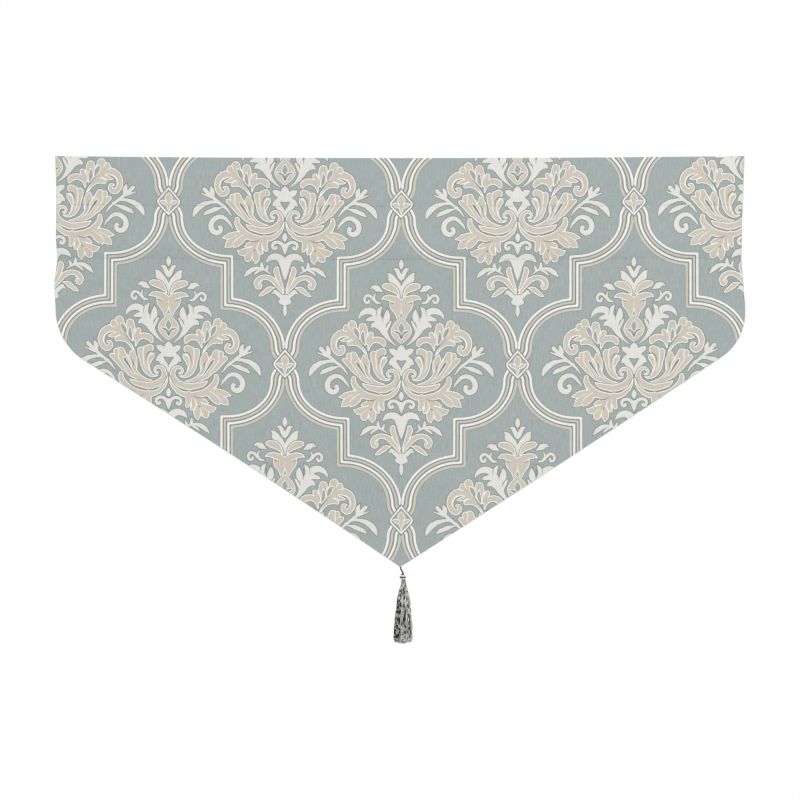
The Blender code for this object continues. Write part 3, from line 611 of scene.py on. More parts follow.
@dataclass(frozen=True)
class Trellis:
    """The striped band that runs from diamond to diamond and frames the motifs, in chart steps.

    It leaves each diamond by the entry, follows a curve to the middle of its run and spreads a
    little near the diamonds. The diamonds' sides are given as shares of their half width and height.
    """

    run: float = 116.3
    entry: tuple[Place, ...] = ((0.8, 4.2), (3.0, 7.2), (5.0, 10.2), (6.4, 12.8))
    curve_start: Place = (7.1, 15.2)
    curve_radii: Place = (51.0, 44.0)
    curve_points: int = 14
    corner_cut: float = 0.8
    sharp_turn: float = 55.0
    spread: float = 0.135
    spread_from: float = 12.0
    spread_reach: float = 26.0
    edge: float = 0.5
    stripes: tuple[Stripe, ...] = (
        Stripe(Yarn.CREAM, 2.25),
        Stripe(Yarn.SHADE, 1.20),
        Stripe(Yarn.GREIGE, 2.05),
        Stripe(Yarn.SHADE, 1.40),
        Stripe(Yarn.CREAM, 2.25),
        Stripe(Yarn.SHADE, 1.25),
        Stripe(Yarn.STONE, 2.45),
    )
    diamond_half: Place = (11.5, 14.3)
    diamond_side: tuple[Place, ...] = (
        (0.915, -0.145), (0.985, -0.06), (1.0, 0.02), (0.98, 0.11), (0.90, 0.245)
    )
    diamond_stretch: float = 1.4
    diamond_moat: float = 1.2
    diamond_frame: float = 1.8
    diamond_line: float = 0.9
    fleur: tuple[Blade, ...] = (
        Blade((0.0, 3.4), (0.0, -9.2), 8.0, belly=0.52, root=0.3),
        Blade((1.0, 4.4), (9.6, 0.0), 4.6, bend=0.10, belly=0.50, root=0.5),
        Blade((0.0, 1.5), (0.0, 11.6), 4.4, belly=0.22, root=0.8),
    )
    fleur_edge: float = 0.9

    def middle_line(self, gap: float) -> np.ndarray:
        """The band's middle line from a diamond to the next lower one on its right.

        Args:
            gap: How far the lower diamond lies below the upper one.

        Returns:
            Points of the line as (right, down) rows, counted from the upper diamond.
        """
        turns = np.linspace(0.0, 0.5 * math.pi, self.curve_points)
        curve = np.stack([
            self.curve_start[0] + self.curve_radii[0] * (1.0 - np.cos(turns)),
            self.curve_start[1] + self.curve_radii[1] * np.sin(turns),
        ], axis=1)
        half = np.concatenate([np.array(self.entry), curve])
        return np.concatenate([half, np.array([self.run, gap]) - half[::-1]])

    def eased(self, outline: np.ndarray) -> np.ndarray:
        """The outline with each sharp corner cut by a small step."""
        behind = unit(np.roll(outline, 1, axis=0) - outline)
        ahead = unit(np.roll(outline, -1, axis=0) - outline)
        turned = np.degrees(np.arccos(np.clip(-(behind * ahead).sum(axis=1), -1.0, 1.0)))
        places = []
        for place, back, on, turn in zip(outline, behind, ahead, turned):
            if turn > self.sharp_turn:
                places += [place + back * self.corner_cut, place + on * self.corner_cut]
            else:
                places.append(place)
        return np.array(places)

    def bands(self, gap: float) -> Painted:
        """Outlines of the band and its light stripes, in painting order.

        Args:
            gap: How far the lower diamond lies below the upper one.

        Returns:
            Each yarn with its outline.
        """
        line = self.middle_line(gap)
        upward = quarter_turned(unit(np.diff(line, axis=0)))
        first = np.concatenate([upward[:1], upward])
        middle = unit(first + np.concatenate([upward, upward[-1:]]))
        mitre = middle / (middle * first).sum(axis=1)[:, None]
        lengths = lengths_along(line)
        near = np.minimum(lengths, lengths[-1] - lengths)
        widening = 1.0 + self.spread * (1.0 - ease((near - self.spread_from) / self.spread_reach))

        def strip(start: float, end: float) -> np.ndarray:
            """The outline between two distances from the middle line."""
            outer = line + mitre * (start * widening)[:, None]
            inner = line + mitre * (end * widening)[:, None]
            return self.eased(np.concatenate([outer, inner[::-1]]))

        offset = 0.5 * sum(stripe.width for stripe in self.stripes)
        painted = [(Yarn.SHADE, strip(offset + self.edge, -offset - self.edge))]
        for stripe in self.stripes:
            if stripe.yarn is not Yarn.SHADE:
                painted.append((stripe.yarn, strip(offset, offset - stripe.width)))
            offset -= stripe.width
        return painted

    def diamond_outline(self, grow: float) -> np.ndarray:
        """The outline of the small diamond, made larger all round by grow steps."""
        wide = self.diamond_half[0] + grow
        high = self.diamond_half[1] + self.diamond_stretch * grow
        right = np.array(self.diamond_side) * np.array([wide, high])
        left = right[::-1] * np.array([-1.0, 1.0])
        return np.concatenate([[(0.0, -high)], right, [(0.0, high)], left])

    def diamond(self) -> Painted:
        """Outlines of the small diamond with the fleur in it, in painting order."""
        inside = -self.diamond_frame
        painted = [
            (Yarn.SHADE, self.diamond_outline(self.diamond_moat)),
            (Yarn.CREAM, self.diamond_outline(0.0)),
            (Yarn.SHADE, self.diamond_outline(inside)),
            (Yarn.GROUND, self.diamond_outline(inside - self.diamond_line)),
        ]
        for yarn, grow in ((Yarn.CREAM, 0.0), (Yarn.BEIGE, -self.fleur_edge)):
            painted += painted_shapes(yarn, self.fleur, grow)
        return painted


def painted_shapes(yarn: Yarn, shapes: tuple[Blade | Vine, ...], grow: float) -> Painted:
    """The outlines of charted shapes and of their mirror images, in one yarn.

    Args:
        yarn: The yarn that they are painted in.
        shapes: Shapes of the right half. One that lies evenly over the middle line isn't doubled.
        grow: Steps to add all round.

    Returns:
        The yarn with each outline.
    """
    painted = []
    for shape in shapes:
        outlines = shape.outlines(grow)
        painted += [(yarn, outline) for outline in outlines]
        if not shape.mirrors_itself():
            painted += [(yarn, outline[::-1] * np.array([-1.0, 1.0])) for outline in outlines]
    return painted


@dataclass(frozen=True)
class Motif:
    """The large floral motif, woven from the sprays of the chart."""

    sprays: tuple[Spray, ...] = MOTIF_CHART
    cream_edge: float = 0.95
    shade_edge: float = 0.80
    opening_line: float = 0.5
    opening_edge: float = 0.8

    def painted(self) -> Painted:
        """Outlines of the right side of the motif in painting order."""
        painted = []
        for spray in self.sprays:
            painted += painted_shapes(Yarn.SHADE, spray.shapes, self.shade_edge)
            if spray.yarn is Yarn.BEIGE:
                painted += painted_shapes(Yarn.CREAM, spray.shapes, 0.0)
                painted += painted_shapes(Yarn.BEIGE, spray.shapes, -self.cream_edge)
            else:
                painted += painted_shapes(spray.yarn, spray.shapes, 0.0)
            painted += painted_shapes(Yarn.CREAM, spray.openings, self.opening_edge)
            painted += painted_shapes(Yarn.SHADE, spray.openings, 0.0)
            painted += painted_shapes(Yarn.GROUND, spray.openings, -self.opening_line)
            painted += painted_shapes(Yarn.CREAM, spray.ribs, 0.0)
            painted += painted_shapes(Yarn.SHADE, spray.gaps, 0.0)
        return painted

    def painted_behind(self) -> Painted:
        """Outlines of the motif on the wrong side, where only its mass shows."""
        painted = []
        for spray in self.sprays:
            painted += painted_shapes(Yarn.BACK_FIGURE, spray.shapes, 0.0)
            painted += painted_shapes(Yarn.BACK_GROUND, spray.openings, 0.0)
        return painted


class Figure(Enum):
    """The figures that repeat down the columns of the cloth."""

    MOTIF = 0
    DIAMOND = 1


@dataclass(frozen=True)
class FigureRow:
    """A row of one figure: its place in chart steps below the top edge, and the columns it is in."""

    figure: Figure
    down: float
    odd_columns: bool


@dataclass(frozen=True)
class WovenRepeat:
    """Where the figures lie on the flat cloth: the weave bows up at its sides and tilts a little."""

    step: float = 0.0018406
    middle: float = 1.0
    last_column: int = 3
    bow: float = 0.0081
    tilt: float = 0.0000198
    tilt_level: float = 46.0
    half_width: float = 0.635
    rows: tuple[FigureRow, ...] = (
        FigureRow(Figure.DIAMOND, -111.5, True),
        FigureRow(Figure.MOTIF, -96.5, False),
        FigureRow(Figure.DIAMOND, 46.0, False),
        FigureRow(Figure.MOTIF, 62.0, True),
        FigureRow(Figure.DIAMOND, 206.8, True),
        FigureRow(Figure.MOTIF, 219.8, False),
        FigureRow(Figure.DIAMOND, 362.1, False),
        FigureRow(Figure.MOTIF, 378.5, True),
        FigureRow(Figure.DIAMOND, 522.0, True),
    )
    trellis: Trellis = Trellis()
    motif: Motif = Motif()

    def on_cloth(self, outline: np.ndarray, column: int, down: float) -> np.ndarray:
        """Lay an outline on the flat cloth.

        Args:
            outline: Points as (right, down) rows in chart steps, counted from the figure's heart.
            column: The column that the figure is in, 0 in the middle.
            down: How far the heart lies below the top edge, in chart steps.

        Returns:
            The points as (right, up) rows in metres.
        """
        right = outline[:, 0] + column * self.trellis.run
        below = outline[:, 1] + down
        below = below + self.tilt * (below - self.tilt_level) * right
        across = (right + self.middle) * self.step
        return np.stack([across, self.bow * (across / self.half_width) ** 2 - below * self.step], axis=1)

    def places(self, row: FigureRow) -> range:
        """The columns that a row has its figure in."""
        first = -self.last_column if row.odd_columns else 1 - self.last_column
        return range(first, self.last_column + 1, 2)

    def painted(self, right_side: bool) -> Painted:
        """All woven figures, laid on the flat cloth in painting order.

        Args:
            right_side: Whether the patterned side is wanted, or else the wrong side.

        Returns:
            Each yarn with its outline in metres.
        """
        painted = []
        diamonds = [row for row in self.rows if row.figure is Figure.DIAMOND]
        for upper, lower in zip(diamonds, diamonds[1:]):
            bands = self.trellis.bands(lower.down - upper.down)
            if not right_side:
                bands = [(Yarn.BACK_FIGURE, outline) for yarn, outline in bands if yarn is not Yarn.SHADE]
            for column in self.places(upper):
                for sign in (-1.0, 1.0):
                    for yarn, outline in bands:
                        turned = outline * np.array([sign, 1.0])
                        painted.append((yarn, self.on_cloth(turned, column, upper.down)))
        figures = {
            Figure.MOTIF: self.motif.painted() if right_side else self.motif.painted_behind(),
            Figure.DIAMOND: self.trellis.diamond(),
        }
        if not right_side:
            figures[Figure.DIAMOND] = [
                (Yarn.BACK_GROUND if yarn in (Yarn.GROUND, Yarn.SHADE) else Yarn.BACK_FIGURE, outline)
                for yarn, outline in figures[Figure.DIAMOND]
            ]
        for row in self.rows:
            for column in self.places(row):
                for yarn, outline in figures[row.figure]:
                    painted.append((yarn, self.on_cloth(outline, column, row.down)))
        return painted


@dataclass(frozen=True)
class Sway:
    """How far each side edge is drawn in at a drop below the top edge."""

    drop: float
    left_in: float
    right_in: float


@dataclass(frozen=True)
class Roll:
    """A soft wave that runs across the cloth."""

    left_drop: float
    mid_drop: float
    right_drop: float
    half_height: float
    left_lift: float
    mid_lift: float
    right_lift: float


@dataclass(frozen=True)
class Flute:
    """A soft wave that runs down the cloth."""

    top_x: float
    low_x: float
    half_width: float
    lift: float


@dataclass(frozen=True)
class Ripple:
    """A wave of the small gathers along a seam, with its shift from the upper seam to the lower one."""

    size: float
    wave: float
    start: float
    shift: float


@dataclass(frozen=True)
class ClothShape:
    """The cut of the cloth and the folds in which it hangs, with the sizes of its solids.

    The flat cut is laid out as (right, up) rows: below the fold line lies the face, and above it
    the part that is turned over to the back. The side share is 0 on the right side of the cloth
    and 1 on its wrong side.
    """

    half_width: float = 0.635
    corner_drop: float = 0.3415
    point_drop: float = 0.7534
    corner_radii: Place = (0.110, 0.096)
    slope_bows: Place = (-0.0040, 0.0012)
    grain_sag: float = 0.0037
    sway: tuple[Sway, ...] = (
        Sway(0.000, 0.0000, 0.0015),
        Sway(0.065, 0.0018, 0.0035),
        Sway(0.150, 0.0018, 0.0070),
        Sway(0.187, 0.0036, 0.0070),
        Sway(0.235, -0.0018, 0.0033),
        Sway(0.280, -0.0004, 0.0000),
        Sway(0.345, 0.0000, 0.0000),
    )
    cloth: float = 0.0016
    gap: float = 0.0003
    hem_width: float = 0.026
    hem_extra: float = 0.0014
    hem_step: float = 0.0006
    round_edge: float = 0.0008
    header_drop: float = 0.089
    pocket_height: float = 0.098
    turned_edge: float = 0.012
    strip_inset: float = 0.003
    inset_run: float = 0.006
    strip_ramp: float = 0.012
    front_swell: float = 0.0070
    back_swell: float = 0.0215
    ridge_share: float = 0.548
    ridge_rounding: float = 0.07
    swell_skew: float = 1.8
    swell_uneven: float = 0.10
    swell_waves: float = 5.3
    rolls: tuple[Roll, ...] = (
        Roll(0.300, 0.292, 0.286, 0.036, 0.0012, 0.0009, 0.0014),
        Roll(0.372, 0.380, 0.390, 0.034, 0.0005, 0.0010, 0.0006),
        Roll(0.470, 0.490, 0.476, 0.082, 0.0030, 0.0034, 0.0026),
        Roll(0.590, 0.602, 0.596, 0.050, 0.0008, 0.0012, 0.0010),
    )
    flutes: tuple[Flute, ...] = (
        Flute(-0.560, -0.590, 0.060, 0.0030),
        Flute(-0.395, -0.420, 0.075, 0.0016),
        Flute(-0.150, -0.165, 0.095, 0.0024),
        Flute(0.075, 0.070, 0.080, 0.0014),
        Flute(0.250, 0.262, 0.070, 0.0022),
        Flute(0.430, 0.455, 0.065, 0.0018),
        Flute(0.585, 0.610, 0.045, 0.0028),
    )
    flutes_full_drop: float = 0.420
    point_curl: float = 0.0050
    point_curl_from: float = 0.500
    left_curl: Place = (0.0050, 0.170)
    right_curl: Place = (0.0024, 0.110)
    seam_bite: float = 0.00028
    seam_bite_reach: float = 0.0018
    pucker: float = 0.00022
    pucker_reach: float = 0.011
    ripples: tuple[Ripple, ...] = (
        Ripple(1.0, 431.0, 0.0, 1.3),
        Ripple(0.7, 263.0, 2.1, 1.0),
        Ripple(0.6, 149.0, 0.4, 0.0),
    )
    side_runs: int = 26
    arc_runs: int = 16
    slope_runs: int = 60
    strip_runs: int = 17
    inset_runs: int = 6
    fold_runs: int = 8
    end_runs: int = 90
    trial_step: float = 0.0002

    @property
    def seam_drop(self) -> float:
        """Drop of the lower seam."""
        return self.header_drop + self.pocket_height

    @property
    def fold_radius(self) -> float:
        """Outer radius of the fold along the top edge."""
        return self.cloth + 0.5 * self.gap

    @property
    def fold_run(self) -> float:
        """Length of cloth that goes round the fold, along the middle of its thickness."""
        return 0.5 * math.pi * (self.cloth + self.gap)

    @property
    def turned_over(self) -> float:
        """How much further up a turned-over place lies in the flat cut than it hangs down."""
        return self.fold_run - 2.0 * self.fold_radius

    @property
    def strip_end(self) -> float:
        """How far above the top edge the turned-over part ends in the flat cut."""
        return self.seam_drop + self.turned_edge - 2.0 * self.fold_radius + self.fold_run

    def side_x(self, sign: float, drops: np.ndarray) -> np.ndarray:
        """Where a side edge lies at each drop: sign -1 is the left one, +1 the right one."""
        drops = np.clip(np.asarray(drops, dtype=float), self.sway[0].drop, self.sway[-1].drop)
        inward = np.zeros_like(drops)
        for low, high in zip(self.sway, self.sway[1:]):
            start, end = (low.left_in, high.left_in) if sign < 0.0 else (low.right_in, high.right_in)
            value = start + (end - start) * ease((drops - low.drop) / (high.drop - low.drop))
            inward = np.where((drops >= low.drop) & (drops <= high.drop), value, inward)
        return sign * (self.half_width - inward)

    def slope_drop(self, x: np.ndarray) -> np.ndarray:
        """Drop of the straight slope between corner and point at each place of the width."""
        return self.corner_drop + (1.0 - np.abs(x) / self.half_width) * (self.point_drop - self.corner_drop)

    def corner_arc(self, sign: float) -> np.ndarray:
        """Points of the arc that rounds a lower corner, from the side edge on."""
        radius = self.corner_radii[0 if sign < 0.0 else 1]
        corner = np.array([sign * self.half_width, -self.corner_drop])
        upward = np.array([0.0, 1.0])
        ahead = unit(np.array([0.0, -self.point_drop]) - corner)
        half_angle = 0.5 * math.acos(float(upward @ ahead))
        tangent = radius / math.tan(half_angle)
        centre = corner + unit(upward + ahead) * (radius / math.sin(half_angle))
        start = corner + upward * tangent - centre
        end = corner + ahead * tangent - centre
        sweep = math.pi - 2.0 * half_angle
        shares = np.linspace(0.0, 1.0, self.arc_runs + 1)[:, None]
        swept = start * np.sin((1.0 - shares) * sweep) + end * np.sin(shares * sweep)
        return centre + swept / math.sin(sweep)

    def half_edge(self, sign: float) -> np.ndarray:
        """The free edge of one half, from just under the fold down to the point."""
        arc = self.corner_arc(sign)
        point = np.array([0.0, -self.point_drop])
        run = point - arc[-1]
        shares = np.linspace(0.0, 1.0, self.slope_runs + 1)[1:, None]
        outside = unit(np.array([run[1], -run[0]])) * -sign
        bow = self.slope_bows[0 if sign < 0.0 else 1]
        slope = arc[-1] + run * shares + outside * (bow * np.sin(math.pi * shares))
        drops = np.linspace(self.fold_radius, -arc[0, 1], self.side_runs + 1)[:-1]
        side = np.stack([self.side_x(sign, drops), -drops], axis=1)
        return np.concatenate([side, arc, slope])

    def free_edge(self) -> np.ndarray:
        """The hemmed edge of the face: down its left side, along both slopes and up its right side."""
        return np.concatenate([self.half_edge(-1.0), self.half_edge(1.0)[-2::-1]])

    def outline(self) -> np.ndarray:
        """The whole cut, anticlockwise from the lower left corner of the turned-over part."""
        radius = self.fold_radius
        drops = np.concatenate([
            np.linspace(self.seam_drop + self.turned_edge, radius + self.inset_run, self.strip_runs + 1),
            np.linspace(radius + self.inset_run, radius, self.inset_runs + 1)[1:],
        ])
        fold = np.linspace(1.0, 0.0, self.fold_runs + 1)[1:-1] * self.fold_run - radius
        sides = []
        for sign in (-1.0, 1.0):
            inset = self.strip_inset * ease((drops - radius) / self.inset_run)
            strip = np.stack([self.side_x(sign, drops) - sign * inset, self.turned_over + drops], axis=1)
            turn = np.stack([np.full(len(fold), float(self.side_x(sign, radius))), fold], axis=1)
            sides.append(np.concatenate([strip, turn]))
        end = np.linspace(sides[1][0, 0], sides[0][0, 0], self.end_runs + 1)[1:-1]
        bottom = np.stack([end, np.full(len(end), self.strip_end)], axis=1)
        return np.concatenate([sides[0], self.free_edge(), sides[1][::-1], bottom])

    def height_of(self, flat: np.ndarray) -> np.ndarray:
        """The hanging height of flat places, before the grain sags."""
        up = flat[:, 1]
        radius = self.fold_radius
        behind = np.where(up > self.fold_run - radius, self.turned_over - up, -radius)
        return np.where(up < -radius, up, behind)

    def wave(self, x: np.ndarray, drop: np.ndarray) -> np.ndarray:
        """How far the cloth hangs behind the plane of its top edge."""
        share = x / self.half_width

        def across(left: float, middle: float, right: float) -> np.ndarray:
            """A value given at both sides and in the middle of the width."""
            return middle + 0.5 * (right - left) * share + (0.5 * (left + right) - middle) * share ** 2

        depth = np.zeros_like(x)
        for roll in self.rolls:
            centre = across(roll.left_drop, roll.mid_drop, roll.right_drop)
            lift = across(roll.left_lift, roll.mid_lift, roll.right_lift)
            depth -= lift * bump(drop - centre, roll.half_height)
        growth = ease((drop - self.seam_drop) / (self.flutes_full_drop - self.seam_drop))
        for flute in self.flutes:
            centre = flute.top_x + (flute.low_x - flute.top_x) * growth
            depth -= growth * flute.lift * bump(x - centre, flute.half_width)
        below = ease((drop - self.header_drop) / (self.flutes_full_drop - self.header_drop))
        depth += below * self.left_curl[0] * (1.0 - ease((x + self.half_width) / self.left_curl[1]))
        depth += below * self.right_curl[0] * (1.0 - ease((self.half_width - x) / self.right_curl[1]))
        curled = ease((drop - self.point_curl_from) / (self.point_drop - self.point_curl_from))
        return depth + self.point_curl * curled

    def puckers(self, x: np.ndarray, drop: np.ndarray) -> np.ndarray:
        """Small gathers beside the two seams, the same through both layers."""
        depth = np.zeros_like(x)
        for row, seam in enumerate((self.header_drop, self.seam_drop)):
            fading = np.exp(-((drop - seam) / self.pucker_reach) ** 2)
            ripple = sum(
                part.size * np.sin(part.wave * x + part.start + part.shift * row) for part in self.ripples
            )
            depth += self.pucker * fading * ripple
        return depth

    def bite(self, drop: np.ndarray) -> np.ndarray:
        """How far the sewing pulls the surface in at the two seams."""
        depth = np.zeros_like(drop)
        for seam in (self.header_drop, self.seam_drop):
            depth += self.seam_bite * np.exp(-((drop - seam) / self.seam_bite_reach) ** 2)
        return depth

    def swell_before(self, x: np.ndarray, drop: np.ndarray) -> np.ndarray:
        """The pocket's swelling to the front, fullest low down and uneven along the width."""
        share = np.clip((drop - self.header_drop) / self.pocket_height, 0.0, 1.0)
        fullness = 1.0 - self.swell_uneven * (1.0 - np.sin(self.swell_waves * x / self.half_width))
        return self.front_swell * fullness * np.sin(math.pi * share ** self.swell_skew)

    def swell_behind(self, drop: np.ndarray) -> np.ndarray:
        """The pocket's swelling to the back: straight from each seam to a round ridge, as over a rod."""
        share = np.clip((drop - self.header_drop) / self.pocket_height, 0.0, 1.0)
        run = np.where(share < self.ridge_share, self.ridge_share, 1.0 - self.ridge_share)
        seam = math.hypot(1.0, self.ridge_rounding)
        rise = seam - np.hypot((share - self.ridge_share) / run, self.ridge_rounding)
        return self.back_swell * rise / (seam - self.ridge_rounding)

    def edge_distance(self, flat: np.ndarray) -> np.ndarray:
        """Distance of flat places on the face to its free edge."""
        edge = self.free_edge()
        near = np.full(len(flat), np.inf)
        for start, run in zip(edge, np.diff(edge, axis=0)):
            away = flat - start
            share = np.clip(away @ run / float(run @ run), 0.0, 1.0)
            near = np.minimum(near, ((away - share[:, None] * run) ** 2).sum(axis=1))
        return np.sqrt(near)

    def hung(self, flat: np.ndarray, side: np.ndarray | float) -> np.ndarray:
        """Hang flat places of the cut.

        Args:
            flat: Places as (right, up) rows.
            side: Side share of the places: 0 on the right side of the cloth, 1 on its wrong side.

        Returns:
            The places in the frame as rows of three.
        """
        x = flat[:, 0]
        height = self.height_of(flat)
        drop = -height
        level = self.wave(x, drop) + self.puckers(x, drop)
        hem = 1.0 - ease((self.edge_distance(np.stack([x, height], axis=1)) - self.hem_width) / self.hem_step)
        face_right = level - self.swell_before(x, drop) - 0.5 * self.cloth + self.bite(drop)
        face_wrong = level - self.swell_before(x, drop) + 0.5 * self.cloth + self.hem_extra * hem
        in_from_side = np.minimum(x - self.side_x(-1.0, drop), self.side_x(1.0, drop) - x)
        ramp_run = self.strip_ramp - self.hem_step - self.gap
        ramp = (self.hem_width + self.strip_ramp - in_from_side) / ramp_run
        lift = self.hem_extra * np.clip(ramp, 0.0, 1.0)
        turned = self.hem_extra * ease((drop - self.seam_drop) / self.hem_step)
        strip_wrong = level + 0.5 * self.cloth + self.gap + lift + self.swell_behind(drop)
        strip_right = strip_wrong + self.cloth + turned - self.bite(drop)
        face = face_right + side * (face_wrong - face_right)
        strip = strip_right + side * (strip_wrong - strip_right)
        turn = math.pi * np.clip((flat[:, 1] + self.fold_radius) / self.fold_run, 0.0, 1.0)
        depth = 0.5 * (face + strip) - 0.5 * (strip - face) * np.cos(turn)
        rise = (self.fold_radius - side * self.cloth) * np.sin(turn)
        return np.stack([x, depth, height + rise + self.grain_sag * (x / self.half_width) ** 2], axis=1)

    def outward(self, flat: np.ndarray, side: float) -> np.ndarray:
        """Directions away from the cloth at flat places, on its right side (0) or wrong side (1)."""
        steps = self.trial_step * np.eye(2)
        right, up = (self.hung(flat + step, side) - self.hung(flat - step, side) for step in steps)
        away = unit(np.cross(right, up))
        return away if side < 0.5 else -away


@dataclass
class FlatRegions:
    """A flat triangle mesh whose faces each carry one yarn."""

    places: np.ndarray
    triangles: np.ndarray
    yarns: np.ndarray

    @property
    def triangle_edges(self) -> np.ndarray:
        """Pairs of place numbers: the three edges of each triangle, in its own sense of turn."""
        return np.concatenate([self.triangles[:, pair] for pair in ([0, 1], [1, 2], [2, 0])])

    def borders(self) -> np.ndarray:
        """Pairs of place numbers: the edges where one yarn meets another."""
        pairs = np.sort(self.triangle_edges, axis=1)
        yarns = np.tile(self.yarns, 3)
        edges, owner = np.unique(pairs, axis=0, return_inverse=True)
        owner = owner.ravel()
        lowest = np.full(len(edges), len(Yarn))
        highest = np.full(len(edges), -1)
        np.minimum.at(lowest, owner, yarns)
        np.maximum.at(highest, owner, yarns)
        return edges[lowest != highest]

    def border_lines(self, tolerance: float) -> list[np.ndarray]:
        """The borders as lines from crossing to crossing, without the places that they can spare.

        Args:
            tolerance: How far a line may pass beside a place that is left out.

        Returns:
            Lines of flat places.
        """
        near: dict[int, list[int]] = {}
        for start, end in self.borders().tolist():
            near.setdefault(start, []).append(end)
            near.setdefault(end, []).append(start)
        rim = set(self.outer_loop().tolist())
        crossings = [place for place, others in near.items() if len(others) != 2 or place in rim]
        lines = []
        for start in crossings + list(near):
            while near[start]:
                line = [start]
                while near[line[-1]] and (
                    len(line) == 1 or (line[-1] not in rim and len(near[line[-1]]) == 1)
                ):
                    after = near[line[-1]].pop()
                    near[after].remove(line[-1])
                    line.append(after)
                lines.append(thinned(self.places[line], tolerance))
        return lines

    def outer_loop(self) -> np.ndarray:
        """Place numbers of the outer border, anticlockwise."""
        known = set(map(tuple, self.triangle_edges.tolist()))
        following = {start: end for start, end in known if (end, start) not in known}
        loop = [next(iter(following))]
        while following[loop[-1]] != loop[0]:
            loop.append(following[loop[-1]])
        return np.array(loop)

    def yarns_at(self, places: np.ndarray) -> np.ndarray:
        """The yarn that shows at each of some flat places."""
        corners = [Vector((x, y, 0.0)) for x, y in self.places.tolist()]
        tree = BVHTree.FromPolygons(corners, self.triangles.tolist(), all_triangles=True)
        found = [tree.find_nearest(Vector((x, y, 0.0)))[2] for x, y in places.tolist()]
        return self.yarns[np.array(found)]


def thinned(line: np.ndarray, tolerance: float) -> np.ndarray:
    """A line without the places that it can spare.

    Args:
        line: Its flat places.
        tolerance: How far it may pass beside a place that is left out.

    Returns:
        The places that stay, with both ends.
    """
    kept = np.zeros(len(line), dtype=bool)
    kept[[0, -1]] = True
    spans = [(0, len(line) - 1)]
    if np.allclose(line[0], line[-1]):
        far = int(((line - line[0]) ** 2).sum(axis=1).argmax())
        kept[far] = True
        spans = [(0, far), (far, len(line) - 1)]
    while spans:
        first, last = spans.pop()
        if last - first < 2:
            continue
        run = line[last] - line[first]
        away = line[first + 1:last] - line[first]
        beside = np.abs(away[:, 0] * run[1] - away[:, 1] * run[0]) / max(float(np.hypot(*run)), 1e-9)
        widest = int(beside.argmax())
        if beside[widest] > tolerance:
            middle = first + 1 + widest
            kept[middle] = True
            spans += [(first, middle), (middle, last)]
    return line[kept]


def inside_outline(outline: np.ndarray, places: np.ndarray) -> np.ndarray:
    """Which flat places lie inside an outline."""
    inside = np.zeros(len(places), dtype=bool)
    right, up = places[:, 0], places[:, 1]
    for (x, y), (next_x, next_y) in zip(outline.tolist(), np.roll(outline, -1, axis=0).tolist()):
        if y != next_y:
            crossed = (up < y) != (up < next_y)
            inside ^= crossed & (right < (next_x - x) * (up - y) / (next_y - y) + x)
    return inside


def triangulated(lines: list[np.ndarray], places: np.ndarray, merge: float) -> tuple[np.ndarray, np.ndarray]:
    """Triangulate flat lines and places together.

    Args:
        lines: Lines that the triangles have to follow.
        places: Places to keep.
        merge: Places nearer than this are made one.

    Returns:
        The places of the result and its triangles.
    """
    points = [places]
    edges = []
    first = len(places)
    for line in lines:
        numbers = np.arange(first, first + len(line))
        edges.append(np.stack([numbers[:-1], numbers[1:]], axis=1))
        points.append(line)
        first += len(line)
    flat = [Vector(point) for point in np.concatenate(points).tolist()]
    result = delaunay_2d_cdt(flat, np.concatenate(edges).tolist(), [], 0, merge)
    return np.array([tuple(place) for place in result[0]]), np.array(result[2])


def woven_regions(outline: np.ndarray, base: Yarn, painted: Painted) -> FlatRegions:
    """Paint outlines over each other on a flat cut.

    Args:
        outline: The outline of the cut, anticlockwise.
        base: The yarn where nothing is painted.
        painted: Each yarn with its outline, in painting order.

    Returns:
        Triangles that keep every painted outline, each with the yarn on top.
    """
    loops = [np.concatenate([shape, shape[:1]]) for shape in (outline, *(shape for _, shape in painted))]
    places, triangles = triangulated(loops, np.zeros((0, 2)), PAINT_MERGE)
    middles = places[triangles].mean(axis=1)
    order = np.argsort(middles[:, 0])
    across, up = middles[order].T
    top = np.full(len(triangles), base.value)
    for yarn, shape in painted:
        low, high = shape.min(axis=0), shape.max(axis=0)
        start, end = np.searchsorted(across, [low[0], high[0]])
        near = start + np.nonzero((up[start:end] > low[1]) & (up[start:end] < high[1]))[0]
        near = order[near]
        top[near[inside_outline(shape, middles[near])]] = yarn.value
    kept = inside_outline(outline, middles)
    return FlatRegions(places, triangles[kept], top[kept])


